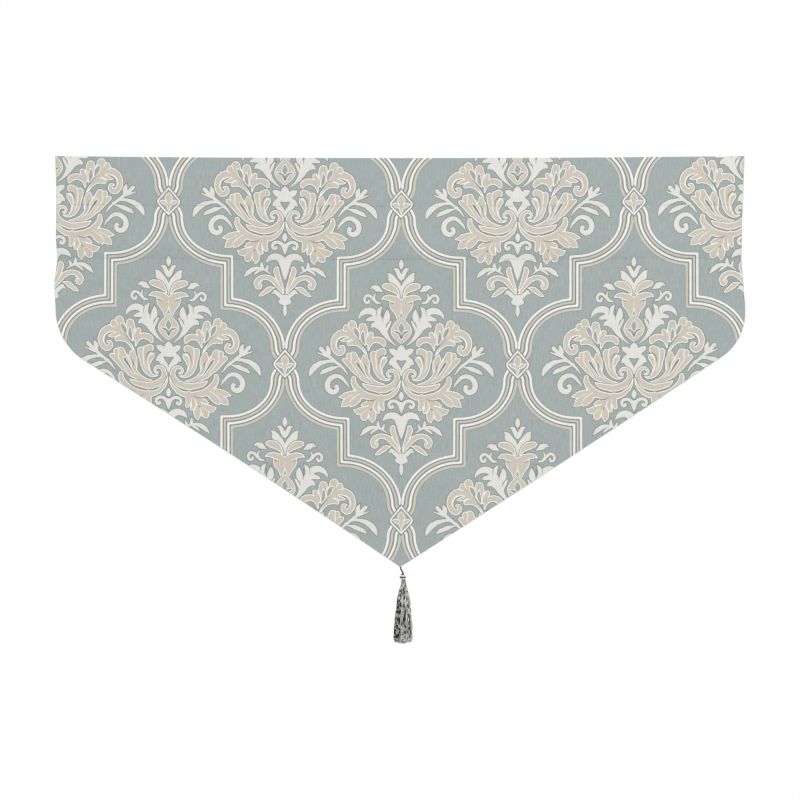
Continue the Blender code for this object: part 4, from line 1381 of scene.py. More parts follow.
@dataclass(frozen=True)
class DamaskCloth:
    """The cloth of the valance: woven figures on a cut sheet, hung as its solids hang."""

    shape: ClothShape = ClothShape()
    repeat: WovenRepeat = WovenRepeat()
    face_pitch: float = 0.017
    heading_pitch: float = 0.012
    row_clearance: float = 0.0014
    fold_rows: int = 6
    ridge_steps: tuple[float, ...] = (-0.009, -0.005, -0.0025, 0.0, 0.0025, 0.005, 0.009)
    bite_steps: tuple[float, ...] = (-0.0024, -0.0012, 0.0, 0.0012, 0.0024)
    rim_turns: tuple[float, ...] = (0.25, 0.5, 0.75)
    selvedge_reach: float = 0.02
    edge_clearance: float = 0.006
    front_tolerance: float = 0.00010
    back_tolerance: float = 0.00030
    bake_split: float = 0.30
    bake_margin: float = 0.004

    def near_cut(self, outline: np.ndarray) -> bool:
        """Whether an outline lies at least in part on the cut."""
        shape = self.shape
        inside = (
            (np.abs(outline[:, 0]) < shape.half_width + self.selvedge_reach)
            & (outline[:, 1] > -shape.slope_drop(outline[:, 0]) - self.selvedge_reach)
            & (outline[:, 1] < shape.strip_end + self.selvedge_reach)
        )
        return bool(inside.any())

    def level_lines(self) -> list[np.ndarray]:
        """Lines across the cut that the triangles follow: the fold, the seams and the pocket's ridge."""
        shape = self.shape
        turned_over = shape.turned_over
        heights = [
            -shape.fold_radius + shape.fold_run * row / self.fold_rows for row in range(self.fold_rows + 1)
        ]
        for step in self.bite_steps:
            for seam in (shape.header_drop, shape.seam_drop):
                heights += [-seam - step, turned_over + seam + step]
        ridge = shape.header_drop + shape.ridge_share * shape.pocket_height
        heights += [turned_over + ridge + step for step in self.ridge_steps]
        heights += [turned_over + shape.seam_drop + shape.hem_step]
        lines = []
        for height in heights:
            drop = -float(shape.height_of(np.array([[0.0, height]]))[0])
            inset = shape.strip_inset if height > shape.fold_run else 0.0
            left = float(shape.side_x(-1.0, drop)) + inset + self.row_clearance
            right = float(shape.side_x(1.0, drop)) - inset - self.row_clearance
            across = np.linspace(left, right, 2 + round((right - left) / self.face_pitch))
            lines.append(np.stack([across, np.full(len(across), height)], axis=1))
        return lines

    def hem_lines(self) -> list[np.ndarray]:
        """The two lines between which the hem's thickness ends on the wrong side."""
        shape = self.shape
        edge = shape.free_edge()[::3]
        lines = []
        for distance in (shape.hem_width, shape.hem_width + shape.hem_step):
            line = moved_inside(edge, distance, closed=False)
            lines.append(line[line[:, 1] < -shape.fold_radius - self.row_clearance])
        return lines

    def fill_places(self) -> np.ndarray:
        """Even places over the cut, closer together in the pocket."""
        shape = self.shape
        places = []
        for low, high, pitch in (
            (-shape.point_drop, -shape.seam_drop, self.face_pitch),
            (-shape.seam_drop, -shape.header_drop, self.heading_pitch),
            (-shape.header_drop, shape.header_drop, self.face_pitch),
            (shape.header_drop, shape.strip_end, self.heading_pitch),
        ):
            rows = np.arange(low + 0.5 * pitch, high - 0.3 * pitch, pitch)
            across = np.arange(-shape.half_width, shape.half_width, pitch)
            for order, row in enumerate(rows):
                shifted = across + 0.5 * pitch * (order % 2)
                places.append(np.stack([shifted, np.full(len(across), row)], axis=1))
        grid = np.concatenate(places)
        drop = -shape.height_of(grid)
        across, up = grid.T
        from_sides = np.minimum(across - shape.side_x(-1.0, drop), shape.side_x(1.0, drop) - across)
        inside = from_sides > self.edge_clearance
        on_face = (shape.edge_distance(grid) > self.edge_clearance) & (up > -shape.slope_drop(across))
        return grid[inside & (on_face | (up > 0.0))]

    def woven_side(self, inner: np.ndarray, right_side: bool) -> FlatRegions:
        """The painted flat cut of one side of the cloth."""
        painted = [row for row in self.repeat.painted(right_side) if self.near_cut(row[1])]
        return woven_regions(inner, Yarn.GROUND if right_side else Yarn.BACK_GROUND, painted)

    def refined(
        self, woven: FlatRegions, tolerance: float, loop: np.ndarray, lines: list[np.ndarray]
    ) -> FlatRegions:
        """The same regions with only their borders kept, and with the places that the folds need.

        Args:
            woven: The painted regions.
            tolerance: How far a kept border may pass beside a place that is left out.
            loop: The outer border that both sides share.
            lines: Lines that the triangles have to follow.

        Returns:
            The regions on new triangles.
        """
        borders = woven.border_lines(tolerance)
        closed = np.concatenate([loop, loop[:1]])
        flat, triangles = triangulated([closed, *lines, *borders], self.fill_places(), FOLD_MERGE)
        middles = flat[triangles].mean(axis=1)
        kept = inside_outline(loop, middles)
        return FlatRegions(flat, triangles[kept], woven.yarns_at(middles[kept]))

    def build(self) -> bpy.types.Object:
        """Make the sheet: both sides, the rim between them, its normals and its flat coordinates.

        Returns:
            The cloth as one closed mesh object.
        """
        shape = self.shape
        outer = shape.outline()
        inner = moved_inside(outer, shape.round_edge, closed=True)
        fronts = self.woven_side(inner, right_side=True)
        shared = fronts.places[fronts.outer_loop()]
        backs = self.woven_side(shared, right_side=False)
        shared = backs.places[backs.outer_loop()]
        fronts = self.refined(fronts, self.front_tolerance, shared, self.level_lines())
        backs = self.refined(backs, self.back_tolerance, shared, self.level_lines() + self.hem_lines())
        front_loop, back_loop = fronts.outer_loop(), backs.outer_loop()
        start = int(((backs.places[back_loop] - fronts.places[front_loop[0]]) ** 2).sum(axis=1).argmin())
        back_loop = np.roll(back_loop, -start)
        if len(front_loop) != len(back_loop):
            raise ValueError(f"the two sides end in {len(front_loop)} and {len(back_loop)} places")
        LOG.info("woven sides: %d and %d triangles", len(fronts.triangles), len(backs.triangles))
        return self.closed_sheet(fronts, backs, front_loop, back_loop, inner, outer)

    def closed_sheet(
        self,
        fronts: FlatRegions,
        backs: FlatRegions,
        front_loop: np.ndarray,
        back_loop: np.ndarray,
        inner: np.ndarray,
        outer: np.ndarray,
    ) -> bpy.types.Object:
        """Hang both sides and close them with a rounded rim.

        Args:
            fronts: The right side, laid flat.
            backs: The wrong side, laid flat.
            front_loop: Border of the right side.
            back_loop: Border of the wrong side, starting at the same place.
            inner: Outline of the flat sides.
            outer: Outline of the cloth with its round edge.

        Returns:
            The mesh object.
        """
        shape = self.shape
        border = fronts.places[front_loop]
        crest = self.crest_places(border, inner, outer)
        away_front = shape.outward(fronts.places, 0.0)
        away_back = shape.outward(backs.places, 1.0)
        sideways = unit(shape.hung(crest, 0.5) - shape.hung(border, 0.5))
        places = [shape.hung(fronts.places, 0.0)]
        normals = [away_front]
        for turn in self.rim_turns:
            angle = math.pi * turn
            rim = border + (crest - border) * math.sin(angle)
            places.append(shape.hung(rim, 0.5 - 0.5 * math.cos(angle)))
            facing = away_front[front_loop] if turn < 0.5 else away_back[back_loop]
            normals.append(unit(facing * abs(math.cos(angle)) + sideways * math.sin(angle)))
        places.append(shape.hung(backs.places, 1.0))
        normals.append(away_back)

        count = len(border)
        rims = [front_loop]
        first = len(fronts.places)
        for _ in self.rim_turns:
            rims.append(np.arange(first, first + count))
            first += count
        rims.append(back_loop + first)
        quads = []
        for near, far in zip(rims, rims[1:]):
            quads.append(np.stack([np.roll(near, -1), near, far, np.roll(far, -1)], axis=1))
        behind = backs.triangles[:, ::-1] + first
        faces = fronts.triangles.tolist() + np.concatenate(quads).tolist() + behind.tolist()

        mesh = bpy.data.meshes.new("damask_cloth")
        mesh.from_pydata(np.concatenate(places).tolist(), [], faces)
        mesh.shade_smooth()
        mesh.normals_split_custom_set_from_vertices(np.concatenate(normals).tolist())
        rim_yarn = np.full(len(rims) * count - count, float(Yarn.GROUND.value))
        yarn = mesh.attributes.new("yarn", "FLOAT", "FACE")
        yarns = np.concatenate([fronts.yarns, rim_yarn, backs.yarns])
        yarn.data.foreach_set("value", yarns.astype(np.float32))

        rim_corners = []
        outward = unit(crest - border) * (shape.round_edge / len(quads))
        for order in range(len(quads)):
            near_flat, far_flat = border + outward * order, border + outward * (order + 1)
            rim_corners.append(np.stack([
                np.roll(near_flat, -1, axis=0), near_flat, far_flat, np.roll(far_flat, -1, axis=0)
            ], axis=1))
        front_corners = fronts.places[fronts.triangles].reshape(-1, 2)
        back_corners = backs.places[backs.triangles[:, ::-1]].reshape(-1, 2)
        rim_flat = np.concatenate(rim_corners).reshape(-1, 2)
        flat_map = mesh.uv_layers.new(name="FlatCloth")
        flat_map.data.foreach_set("uv", np.concatenate([front_corners, rim_flat, back_corners]).ravel())
        bake_map = mesh.uv_layers.new(name="OFBake")
        baked = np.concatenate([
            self.on_bake(front_corners, self.bake_split, 1.0),
            self.on_bake(rim_flat, self.bake_split, 1.0),
            self.on_bake(back_corners, 0.0, self.bake_split),
        ])
        bake_map.data.foreach_set("uv", baked.ravel())
        mesh.uv_layers.active = flat_map
        flat_map.active_render = True
        return in_scene("damask_cloth", mesh)

    def crest_places(self, border: np.ndarray, inner: np.ndarray, outer: np.ndarray) -> np.ndarray:
        """Where the round edge is widest beside each place of the border."""
        best = np.full(len(border), np.inf)
        crest = border.copy()
        corners = (inner, np.roll(inner, -1, axis=0), outer, np.roll(outer, -1, axis=0))
        for start, end, far_start, far_end in zip(*corners):
            run = end - start
            share = np.clip((border - start) @ run / float(run @ run), 0.0, 1.0)[:, None]
            away = ((border - start - run * share) ** 2).sum(axis=1)
            nearer = away < best
            best = np.where(nearer, away, best)
            crest = np.where(nearer[:, None], far_start + (far_end - far_start) * share, crest)
        return crest

    def on_bake(self, flat: np.ndarray, low: float, high: float) -> np.ndarray:
        """Flat places laid into a band of the square map that the finish is baked on."""
        shape = self.shape
        half = shape.half_width + 2.0 * self.bake_margin
        across = (flat[:, 0] + half) / (2.0 * half)
        span = shape.point_drop + shape.strip_end + 4.0 * self.bake_margin
        up = (flat[:, 1] + shape.point_drop + 2.0 * self.bake_margin) / span
        return np.stack([across, low + self.bake_margin + (high - low - 2.0 * self.bake_margin) * up], axis=1)


@dataclass
class Thread:
    """A round thread: its middle line, its radius at each place, and its tone from 0 to 1 if it has one.

    The direction across is one that the thread never runs along.
    """

    line: np.ndarray
    radii: np.ndarray
    across: np.ndarray
    tone: float | None = None


def thread_object(name: str, threads: list[Thread], sides: int, tip: float = 0.7) -> bpy.types.Object:
    """Make one mesh of many round threads, each closed at both ends.

    Args:
        name: Name of the object.
        threads: The threads, of which all or none have a tone.
        sides: Number of sides of a thread.
        tip: How far each end stands out, as a share of the radius there.

    Returns:
        The mesh object, with the share around a thread and the length along it as its UV map.
    """
    corners = math.tau * np.arange(sides) / sides
    places, faces, maps, tones = [], [], [], []
    first = 0
    for thread in threads:
        line, radii = thread.line, thread.radii
        ahead = unit(np.gradient(line, axis=0))
        side = unit(np.cross(ahead, np.broadcast_to(thread.across, line.shape)))
        rise = np.cross(side, ahead)
        ring = side[:, None, :] * np.cos(corners)[None, :, None]
        ring = ring + rise[:, None, :] * np.sin(corners)[None, :, None]
        places.append((line[:, None, :] + ring * radii[:, None, None]).reshape(-1, 3))
        places.append(np.stack([line[0] - ahead[0] * radii[0] * tip, line[-1] + ahead[-1] * radii[-1] * tip]))
        lengths = lengths_along(line)
        count = len(line)
        tips = first + count * sides
        for row in range(count - 1):
            for corner in range(sides):
                strip = ((row, corner), (row + 1, corner), (row + 1, corner + 1), (row, corner + 1))
                faces.append([first + at * sides + place % sides for at, place in strip])
                maps += [(place / sides, lengths[at]) for at, place in strip]
        for corner in range(sides):
            for order, row, ends in ((0, 0, (corner, corner + 1)), (1, count - 1, (corner + 1, corner))):
                faces.append([tips + order, *(first + row * sides + place % sides for place in ends)])
                maps += [(place / sides, lengths[row]) for place in (ends[0], *ends)]
        tones += [thread.tone] * ((count + 1) * sides)
        first = tips + 2
    mesh = bpy.data.meshes.new(name)
    mesh.from_pydata(np.concatenate(places).tolist(), [], faces)
    mesh.shade_smooth()
    layer = mesh.uv_layers.new(name="Thread")
    layer.data.foreach_set("uv", np.array(maps, dtype=np.float32).ravel())
    if tones[0] is not None:
        tone = mesh.attributes.new("tone", "FLOAT", "FACE")
        tone.data.foreach_set("value", np.array(tones, dtype=np.float32))
    return in_scene(name, mesh)


@dataclass(frozen=True)
class Sewing:
    """Stitches through the hanging cloth, with the path that each takes under and over its surface."""

    shape: ClothShape
    radius: float
    sides: int
    shares: tuple[float, ...]
    lift: tuple[float, ...]
    end_taper: float = 0.6

    def laid(self, name: str, flat: np.ndarray, side: float) -> bpy.types.Object:
        """Lay stitches on the hung cloth.

        Args:
            name: Name of the object.
            flat: Flat places of each stitch, as (stitch, place, right and up).
            side: 0 for the cloth's right side, 1 for its wrong side.

        Returns:
            All stitches as one mesh object.
        """
        places = flat.reshape(-1, 2)
        away = self.shape.outward(places, side)
        hung = self.shape.hung(places, side) + away * np.tile(self.lift, len(flat))[:, None]
        across = away.reshape(len(flat), -1, 3)[:, len(self.lift) // 2]
        taper = np.ones(len(self.lift))
        taper[[0, -1]] = self.end_taper
        lines = hung.reshape(len(flat), -1, 3)
        threads = [Thread(line, self.radius * taper, away_from) for line, away_from in zip(lines, across)]
        return thread_object(name, threads, self.sides)


@dataclass(frozen=True)
class SeamSewing(Sewing):
    """The two rows of sewing that make the rod pocket, seen on the face and on the back."""

    shape: ClothShape = ClothShape()
    radius: float = 0.00026
    sides: int = 6
    shares: tuple[float, ...] = (-0.5, -0.3, 0.0, 0.3, 0.5)
    lift: tuple[float, ...] = (-0.00034, -0.00006, 0.00012, -0.00006, -0.00034)
    pitch: float = 0.0031
    length: float = 0.0024
    end_clearance: float = 0.004

    def build(self) -> bpy.types.Object:
        """Lay the stitches of both seams, as one mesh object."""
        shape = self.shape
        rows = []
        for seam in (shape.header_drop, shape.seam_drop):
            for height, inset in ((-seam, 0.0), (shape.turned_over + seam, shape.strip_inset)):
                left = float(shape.side_x(-1.0, seam)) + inset + self.end_clearance
                right = float(shape.side_x(1.0, seam)) - inset - self.end_clearance
                middles = np.arange(left, right, self.pitch)
                across = middles[:, None] + self.length * np.array(self.shares)
                rows.append(np.stack([across, np.full(across.shape, height)], axis=2))
        return self.laid("seam_stitches", np.concatenate(rows), 0.0)


@dataclass(frozen=True)
class HemSewing(Sewing):
    """Slip stitches that hold the hem's inner fold on the wrong side."""

    shape: ClothShape = ClothShape()
    radius: float = 0.00022
    sides: int = 5
    shares: tuple[float, ...] = (0.0, 0.2, 0.46, 0.6, 0.85, 1.0)
    lift: tuple[float, ...] = (-0.0003, 0.00012, 0.0002, 0.0004, 0.00016, -0.0003)
    pitch: float = 0.0085
    reach_in: float = 0.0022
    reach_out: float = 0.0020
    slant: float = 0.0022
    end_clearance: float = 0.014
    strip_clearance: float = 0.004

    def build(self) -> bpy.types.Object:
        """Lay the stitches across the inner edge of the hem, as one mesh object."""
        shape = self.shape
        edge = moved_inside(shape.free_edge(), shape.hem_width, closed=False)
        lengths = lengths_along(edge)
        along = np.arange(self.end_clearance, lengths[-1] - self.end_clearance, self.pitch)
        places = np.stack([np.interp(along, lengths, edge[:, axis]) for axis in (0, 1)], axis=1)
        behind_strip = places[:, 1] > -shape.seam_drop - shape.turned_edge - self.strip_clearance
        places = places[~behind_strip]
        headings = unit(np.gradient(places, axis=0))
        inward = -quarter_turned(headings)
        start = places - inward * self.reach_out - headings * self.slant * 0.5
        end = places + inward * self.reach_in + headings * self.slant * 0.5
        flat = start[:, None] + (end - start)[:, None] * np.array(self.shares)[:, None]
        return self.laid("hem_stitches", flat, 1.0)


@dataclass(frozen=True)
class Stop:
    """A place of the cord's middle line: right of the middle, above the point, and how far behind."""

    right: float
    rise: float
    behind: float


@dataclass(frozen=True)
class Ring:
    """A ring of a turned profile, as a drop below its top and a radius."""

    drop: float
    radius: float


@dataclass(frozen=True)
class TasselPlan:
    """Where the tassel hangs, with the sizes of its solids."""

    shape: ClothShape = ClothShape()
    head_drop: float = 0.7648
    head_x: float = 0.0045
    neck_drop: float = 0.7762
    neck_x: float = 0.0060

    @property
    def depth(self) -> float:
        """Depth of the tassel's own line: the back of the hem at the point."""
        point = self.shape.wave(np.array([0.0]), np.array([self.shape.point_drop]))
        return float(point[0]) + 0.5 * self.shape.cloth + self.shape.hem_extra


@dataclass(frozen=True)
class TasselCord:
    """The short two-ply cord that is sewn behind the point and carries the head."""

    plan: TasselPlan = TasselPlan()
    radius: float = 0.00165
    turn: float = 0.0062
    clearance: float = 0.0007
    step: float = 0.00045
    places_between: int = 24
    plies: int = 2
    yarns: int = 4
    yarn_turn: float = 0.0029
    yarn_out: float = 0.54
    yarn_radius: float = 0.50
    lowest_tone: float = 0.15
    tone_range: float = 0.7
    sides: int = 6
    stops: tuple[Stop, ...] = (
        Stop(-0.0004, 0.0170, 1.0),
        Stop(-0.0002, 0.0080, 1.0),
        Stop(0.0002, 0.0005, 1.0),
        Stop(0.0014, -0.0045, 0.5),
        Stop(0.0042, -0.0088, 0.0),
        Stop(0.0045, -0.0110, 0.0),
    )

    def route(self) -> np.ndarray:
        """Even places along the cord's middle line."""
        plan = self.plan
        behind = self.clearance + self.radius
        points = np.array([
            (stop.right, plan.depth + stop.behind * behind, stop.rise - plan.shape.point_drop)
            for stop in self.stops
        ])
        dense = curve_through(np.concatenate([points[:1], points, points[-1:]]), self.places_between)
        lengths = lengths_along(dense)
        even = np.linspace(0.0, lengths[-1], 1 + round(lengths[-1] / self.step))
        return np.stack([np.interp(even, lengths, dense[:, axis]) for axis in range(3)], axis=1)

    def build(self) -> bpy.types.Object:
        """Twist yarns into plies and plies into the cord, as one mesh object."""
        route = self.route()
        along = self.step * np.arange(len(route))
        forward = np.array([0.0, 1.0, 0.0])
        ahead = unit(np.gradient(route, axis=0))
        side = unit(np.cross(forward, ahead))
        rise = np.cross(ahead, side)
        ply_radius = 0.5 * self.radius
        threads = []
        for ply in range(self.plies):
            turn = math.tau * (along / self.turn + ply / self.plies)
            out = side * np.cos(turn)[:, None] + rise * np.sin(turn)[:, None]
            middle = route + out * ply_radius
            ply_side = unit(np.cross(out, unit(np.gradient(middle, axis=0))))
            for yarn in range(self.yarns):
                own = math.tau * (along / self.yarn_turn + yarn / self.yarns)
                offset = out * np.cos(own)[:, None] + ply_side * np.sin(own)[:, None]
                line = middle + offset * ply_radius * self.yarn_out
                radii = np.full(len(route), ply_radius * self.yarn_radius)
                tone = self.lowest_tone + self.tone_range * yarn / self.yarns
                threads.append(Thread(line, radii, forward, tone))
        return thread_object("plied_cord", threads, self.sides)


class Bench:
    """Blender's own modelling steps, each on what is named and on nothing else."""

    @staticmethod
    def clear() -> None:
        """Leave edit mode and select nothing."""
        if bpy.context.object is not None and bpy.context.object.mode != "OBJECT":
            bpy.ops.object.mode_set(mode="OBJECT")
        bpy.ops.object.select_all(action="DESELECT")

    @staticmethod
    def turned(
        name: str, rings: tuple[Ring, ...], sides: int, top: tuple[float, float, float]
    ) -> bpy.types.Object:
        """Draw a round body out of a disc, ring by ring, and smooth it.

        Args:
            name: Name of the object.
            rings: Its profile, from the top down.
            sides: Number of sides.
            top: Where the middle of its top lies.

        Returns:
            The object, with its place in its mesh.
        """
        Bench.clear()
        radius = rings[0].radius
        bpy.ops.mesh.primitive_circle_add(vertices=sides, radius=radius, fill_type="NGON", location=top)
        body = bpy.context.object
        body.name = name
        body.data.name = name
        bpy.ops.object.transform_apply(location=True, rotation=False, scale=False)
        bpy.ops.object.mode_set(mode="EDIT")
        bpy.ops.mesh.select_mode(type="FACE")
        bpy.ops.mesh.select_all(action="SELECT")
        for before, ring in zip(rings, rings[1:]):
            fall = before.drop - ring.drop
            bpy.ops.mesh.extrude_region_move(TRANSFORM_OT_translate={"value": (0.0, 0.0, fall)})
            ratio = ring.radius / before.radius
            centre = (top[0], top[1], top[2] - ring.drop)
            bpy.ops.transform.resize(value=(ratio, ratio, 1.0), center_override=centre)
        bpy.ops.mesh.select_all(action="SELECT")
        bpy.ops.mesh.normals_make_consistent(inside=False)
        bpy.ops.object.mode_set(mode="OBJECT")
        Bench.clear()
        body.select_set(True)
        bpy.context.view_layer.objects.active = body
        modifier = body.modifiers.new("smooth", "SUBSURF")
        modifier.levels = 1
        modifier.render_levels = 1
        bpy.ops.object.modifier_apply(modifier=modifier.name)
        bpy.ops.object.shade_smooth()
        Bench.clear()
        return body


@dataclass(frozen=True)
class Winding:
    """A run of thread wound round the head, between two drops, leaning by a share, in one tone. A bright run
    is partly silver thread and partly a painted highlight on the bead.
    """

    start: float
    end: float
    lean: float
    tone: float


@dataclass(frozen=True)
class TasselHead:
    """The head of the tassel: a small knot on a bead that is wound with thread."""

    plan: TasselPlan = TasselPlan()
    sides: int = 20
    winding_radius: float = 0.00027
    winding_pitch: float = 0.00046
    winding_steps: int = 26
    winding_sides: int = 5
    lean_height: float = 0.0006
    # The bright runs on the bead are partly silver thread and partly painted highlights.
    windings: tuple[Winding, ...] = (
        Winding(0.0003, 0.0026, 0.5, 0.02),
        Winding(0.0030, 0.0060, 0.0, 0.97),
        Winding(0.0060, 0.0086, 0.0, 0.03),
        Winding(0.0086, 0.0109, 0.0, 0.85),
    )
    rings: tuple[Ring, ...] = (
        Ring(0.0000, 0.0012),
        Ring(0.0006, 0.0022),
        Ring(0.0018, 0.0024),
        Ring(0.0026, 0.0019),
        Ring(0.0032, 0.0033),
        Ring(0.0046, 0.0049),
        Ring(0.0058, 0.0048),
        Ring(0.0064, 0.0055),
        Ring(0.0078, 0.0056),
        Ring(0.0086, 0.0049),
        Ring(0.0098, 0.0052),
        Ring(0.0108, 0.0043),
        Ring(0.0111, 0.0033),
    )

    def build_core(self) -> bpy.types.Object:
        """Turn the body of the head."""
        plan = self.plan
        top = (plan.head_x, plan.depth, -plan.head_drop)
        return Bench.turned("head_core", self.rings, self.sides, top)

    def build_windings(self) -> bpy.types.Object:
        """Wind thread round the body from its neck to its foot, as one mesh object."""
        plan = self.plan
        drops = [ring.drop for ring in self.rings]
        radii = [ring.radius for ring in self.rings]
        threads = []
        for winding in self.windings:
            fall = winding.end - winding.start
            count = int(fall / self.winding_pitch * self.winding_steps)
            index = np.arange(count + 1)
            turn = math.tau * index / self.winding_steps
            drop = winding.start + fall * index / count + winding.lean * self.lean_height * np.sin(turn)
            radius = np.interp(drop, drops, radii) + 0.5 * self.winding_radius
            line = np.stack([
                plan.head_x + radius * np.cos(turn),
                plan.depth + radius * np.sin(turn),
                -plan.head_drop - drop,
            ], axis=1)
            upright = np.array([0.0, 0.0, 1.0])
            threads.append(Thread(line, np.full(count + 1, self.winding_radius), upright, winding.tone))
        return thread_object("head_windings", threads, self.winding_sides)


@dataclass(frozen=True)
class TasselSkirt:
    """The gathered neck and the skirt of crinkled strands of fine thread that falls from it.

    The strands lie side by side in locks, and every second lock is lighter. The light tones are partly the
    thread's own and partly painted glints that stand in for its reflections. Each strand is a bundle of
    threads that wind about its middle line. Pairs of numbers are the two ends of a range.
    """

    plan: TasselPlan = TasselPlan()
    strands: int = 112
    locks: int = 54
    threads: int = 8
    places: int = 16
    sides: int = 3
    seed: int = 11
    length: float = 0.1090
    lean: float = -0.0014
    ends: float = 0.042
    crinkle: float = 0.00042
    crinkle_run: float = 0.026
    crinkle_runs: Place = (1.0, 1.9)
    crinkle_heights: Place = (0.5, 1.0)
    crinkle_starts: Place = (0.0, 6.28)
    strand_turns: Place = (-0.05, 0.05)
    strand_reach: float = 0.94
    strand_radius: float = 0.00072
    place_growth: float = 1.12
    loose_from: float = 0.12
    thread_radius: Place = (0.00028, 0.00040)
    thread_starts: Place = (-0.3, 0.3)
    thread_winds: Place = (0.6, 1.4)
    thread_wind_run: float = 0.05
    thread_ends: Place = (0.0, 0.0022)
    thread_tones: Place = (-0.002, 0.002)
    gathered_run: float = 0.04
    gathered_thinning: float = 0.35
    # Lock and strand tones: partly the thread's own tone and partly painted glints.
    lock_tone_and_glint: float = 0.45
    strand_tone_and_glint: float = 0.55
    outer_limit: float = 1.06
    core: tuple[Ring, ...] = (
        Ring(0.0, 0.0030),
        Ring(0.0010, 0.0038),
        Ring(0.0100, 0.0037),
        Ring(0.0160, 0.0036),
        Ring(0.0200, 0.0012),
    )
    core_sides: int = 18
    neck: tuple[Ring, ...] = (
        Ring(0.0000, 0.0038),
        Ring(0.0010, 0.0047),
        Ring(0.0055, 0.0045),
        Ring(0.0100, 0.0050),
    )
    fall: tuple[Ring, ...] = (
        Ring(0.000, 0.0050),
        Ring(0.045, 0.0070),
        Ring(0.110, 0.0089),
        Ring(0.180, 0.0106),
        Ring(0.350, 0.0136),
        Ring(0.520, 0.0157),
        Ring(0.760, 0.0177),
        Ring(1.000, 0.0192),
    )

    def build_core(self) -> bpy.types.Object:
        """Turn the bound core that the strands are gathered round."""
        plan = self.plan
        top = (plan.neck_x, plan.depth, -plan.neck_drop)
        return Bench.turned("neck_core", self.core, self.core_sides, top)

    def build(self) -> bpy.types.Object:
        """Lay every strand from the top of the neck to its own end, as one mesh object of threads."""
        draw = random.Random(self.seed)
        golden_turn = math.pi * (3.0 - math.sqrt(5.0))
        forward = np.array([0.0, 1.0, 0.0])
        laid = []
        for index in range(self.strands):
            share = math.sqrt((index + 0.5) / self.strands)
            angle = golden_turn * index % math.tau
            middle, fallen, envelope = self.strand_line(share, angle, draw)
            spread = self.strand_radius * (0.35 + 0.65 * ease(fallen / self.loose_from))
            lock = int(angle / math.tau * self.locks)
            # Tone: every second lock lighter, plus a drawn share; partly thread tone, partly painted glints.
            tone = self.lock_tone_and_glint * (lock % 2) + self.strand_tone_and_glint * draw.random()
            for thread in range(self.threads):
                turn = math.tau * thread / self.threads + draw.uniform(*self.thread_starts)
                winds = draw.uniform(*self.thread_winds)
                wander = turn + winds * math.tau * middle[:, 2] / self.thread_wind_run
                reach = spread * (0.55 + 0.45 * (thread % 3) / 2.0)
                aside = [reach * np.cos(wander), reach * np.sin(wander), 0.0 * reach]
                line = middle + np.stack(aside, axis=1)
                line[:, 2] += draw.uniform(*self.thread_ends) * fallen
                gathered = ease((self.gathered_run - fallen) / self.gathered_run)
                radii = draw.uniform(*self.thread_radius) * (1.0 - self.gathered_thinning * gathered)
                own_tone = min(max(tone + draw.uniform(*self.thread_tones), 0.0), 1.0)
                laid.append(Thread(self.kept_inside(line, envelope), radii, forward, own_tone))
        return thread_object("thread_skirt", laid, self.sides)

    def strand_line(
        self, share: float, angle: float, draw: random.Random
    ) -> tuple[np.ndarray, np.ndarray, np.ndarray]:
        """The crinkled middle line of one strand.

        Args:
            share: How far out it lies, from 0 at the skirt's heart to 1 at its surface.
            angle: Its direction from the heart.
            draw: The source of its unevenness.

        Returns:
            Its places, how far each has fallen below the neck as a share, and the skirt's radius there.
        """
        plan = self.plan
        neck_run = self.neck[-1].drop
        drops = [ring.drop for ring in self.neck[:-1]]
        drops += [neck_run + self.length * ring.drop for ring in self.fall]
        radii = [ring.radius for ring in self.neck[:-1]] + [ring.radius for ring in self.fall]
        length = neck_run + self.length * (1.0 - self.ends * share ** 2 - self.ends * draw.random() ** 2)
        drop = np.linspace(0.0, 1.0, self.places) ** self.place_growth * length
        fallen = np.clip((drop - neck_run) / self.length, 0.0, 1.0)
        envelope = np.interp(drop, drops, radii)
        loose = self.crinkle * ease(fallen / self.loose_from)
        out, around = self.crinkled(drop, draw), self.crinkled(drop, draw)
        reach = share * self.strand_reach * envelope + loose * out
        turn = angle + loose * around / np.maximum(reach, 0.002) + draw.uniform(*self.strand_turns) * fallen
        middle = np.stack([
            plan.neck_x + reach * np.cos(turn) + self.lean * fallen,
            plan.depth + reach * np.sin(turn),
            -plan.neck_drop - drop,
        ], axis=1)
        return middle, fallen, envelope

    def crinkled(self, drop: np.ndarray, draw: random.Random) -> np.ndarray:
        """The sum of two drawn waves at each drop."""
        waves = 0.0
        for run in self.crinkle_runs:
            height = draw.uniform(*self.crinkle_heights)
            start = draw.uniform(*self.crinkle_starts)
            waves = waves + height * np.sin(math.tau * drop / (self.crinkle_run * run) + start)
        return waves

    def kept_inside(self, line: np.ndarray, envelope: np.ndarray) -> np.ndarray:
        """The line with no place further out than the skirt's surface."""
        heart = np.array([self.plan.neck_x, self.plan.depth])
        out = line[:, :2] - heart
        far = np.linalg.norm(out, axis=1)
        out *= np.minimum(1.0, envelope * self.outer_limit / np.maximum(far, 1e-6))[:, None]
        return np.concatenate([heart + out, line[:, 2:]], axis=1)


def from_screen(red: int, green: int, blue: int) -> Colour:
    """A linear colour from the values that a screen shows."""
    shares = [value / 255.0 for value in (red, green, blue)]
    return tuple(share / 12.92 if share <= 0.04045 else ((share + 0.055) / 1.055) ** 2.4 for share in shares)


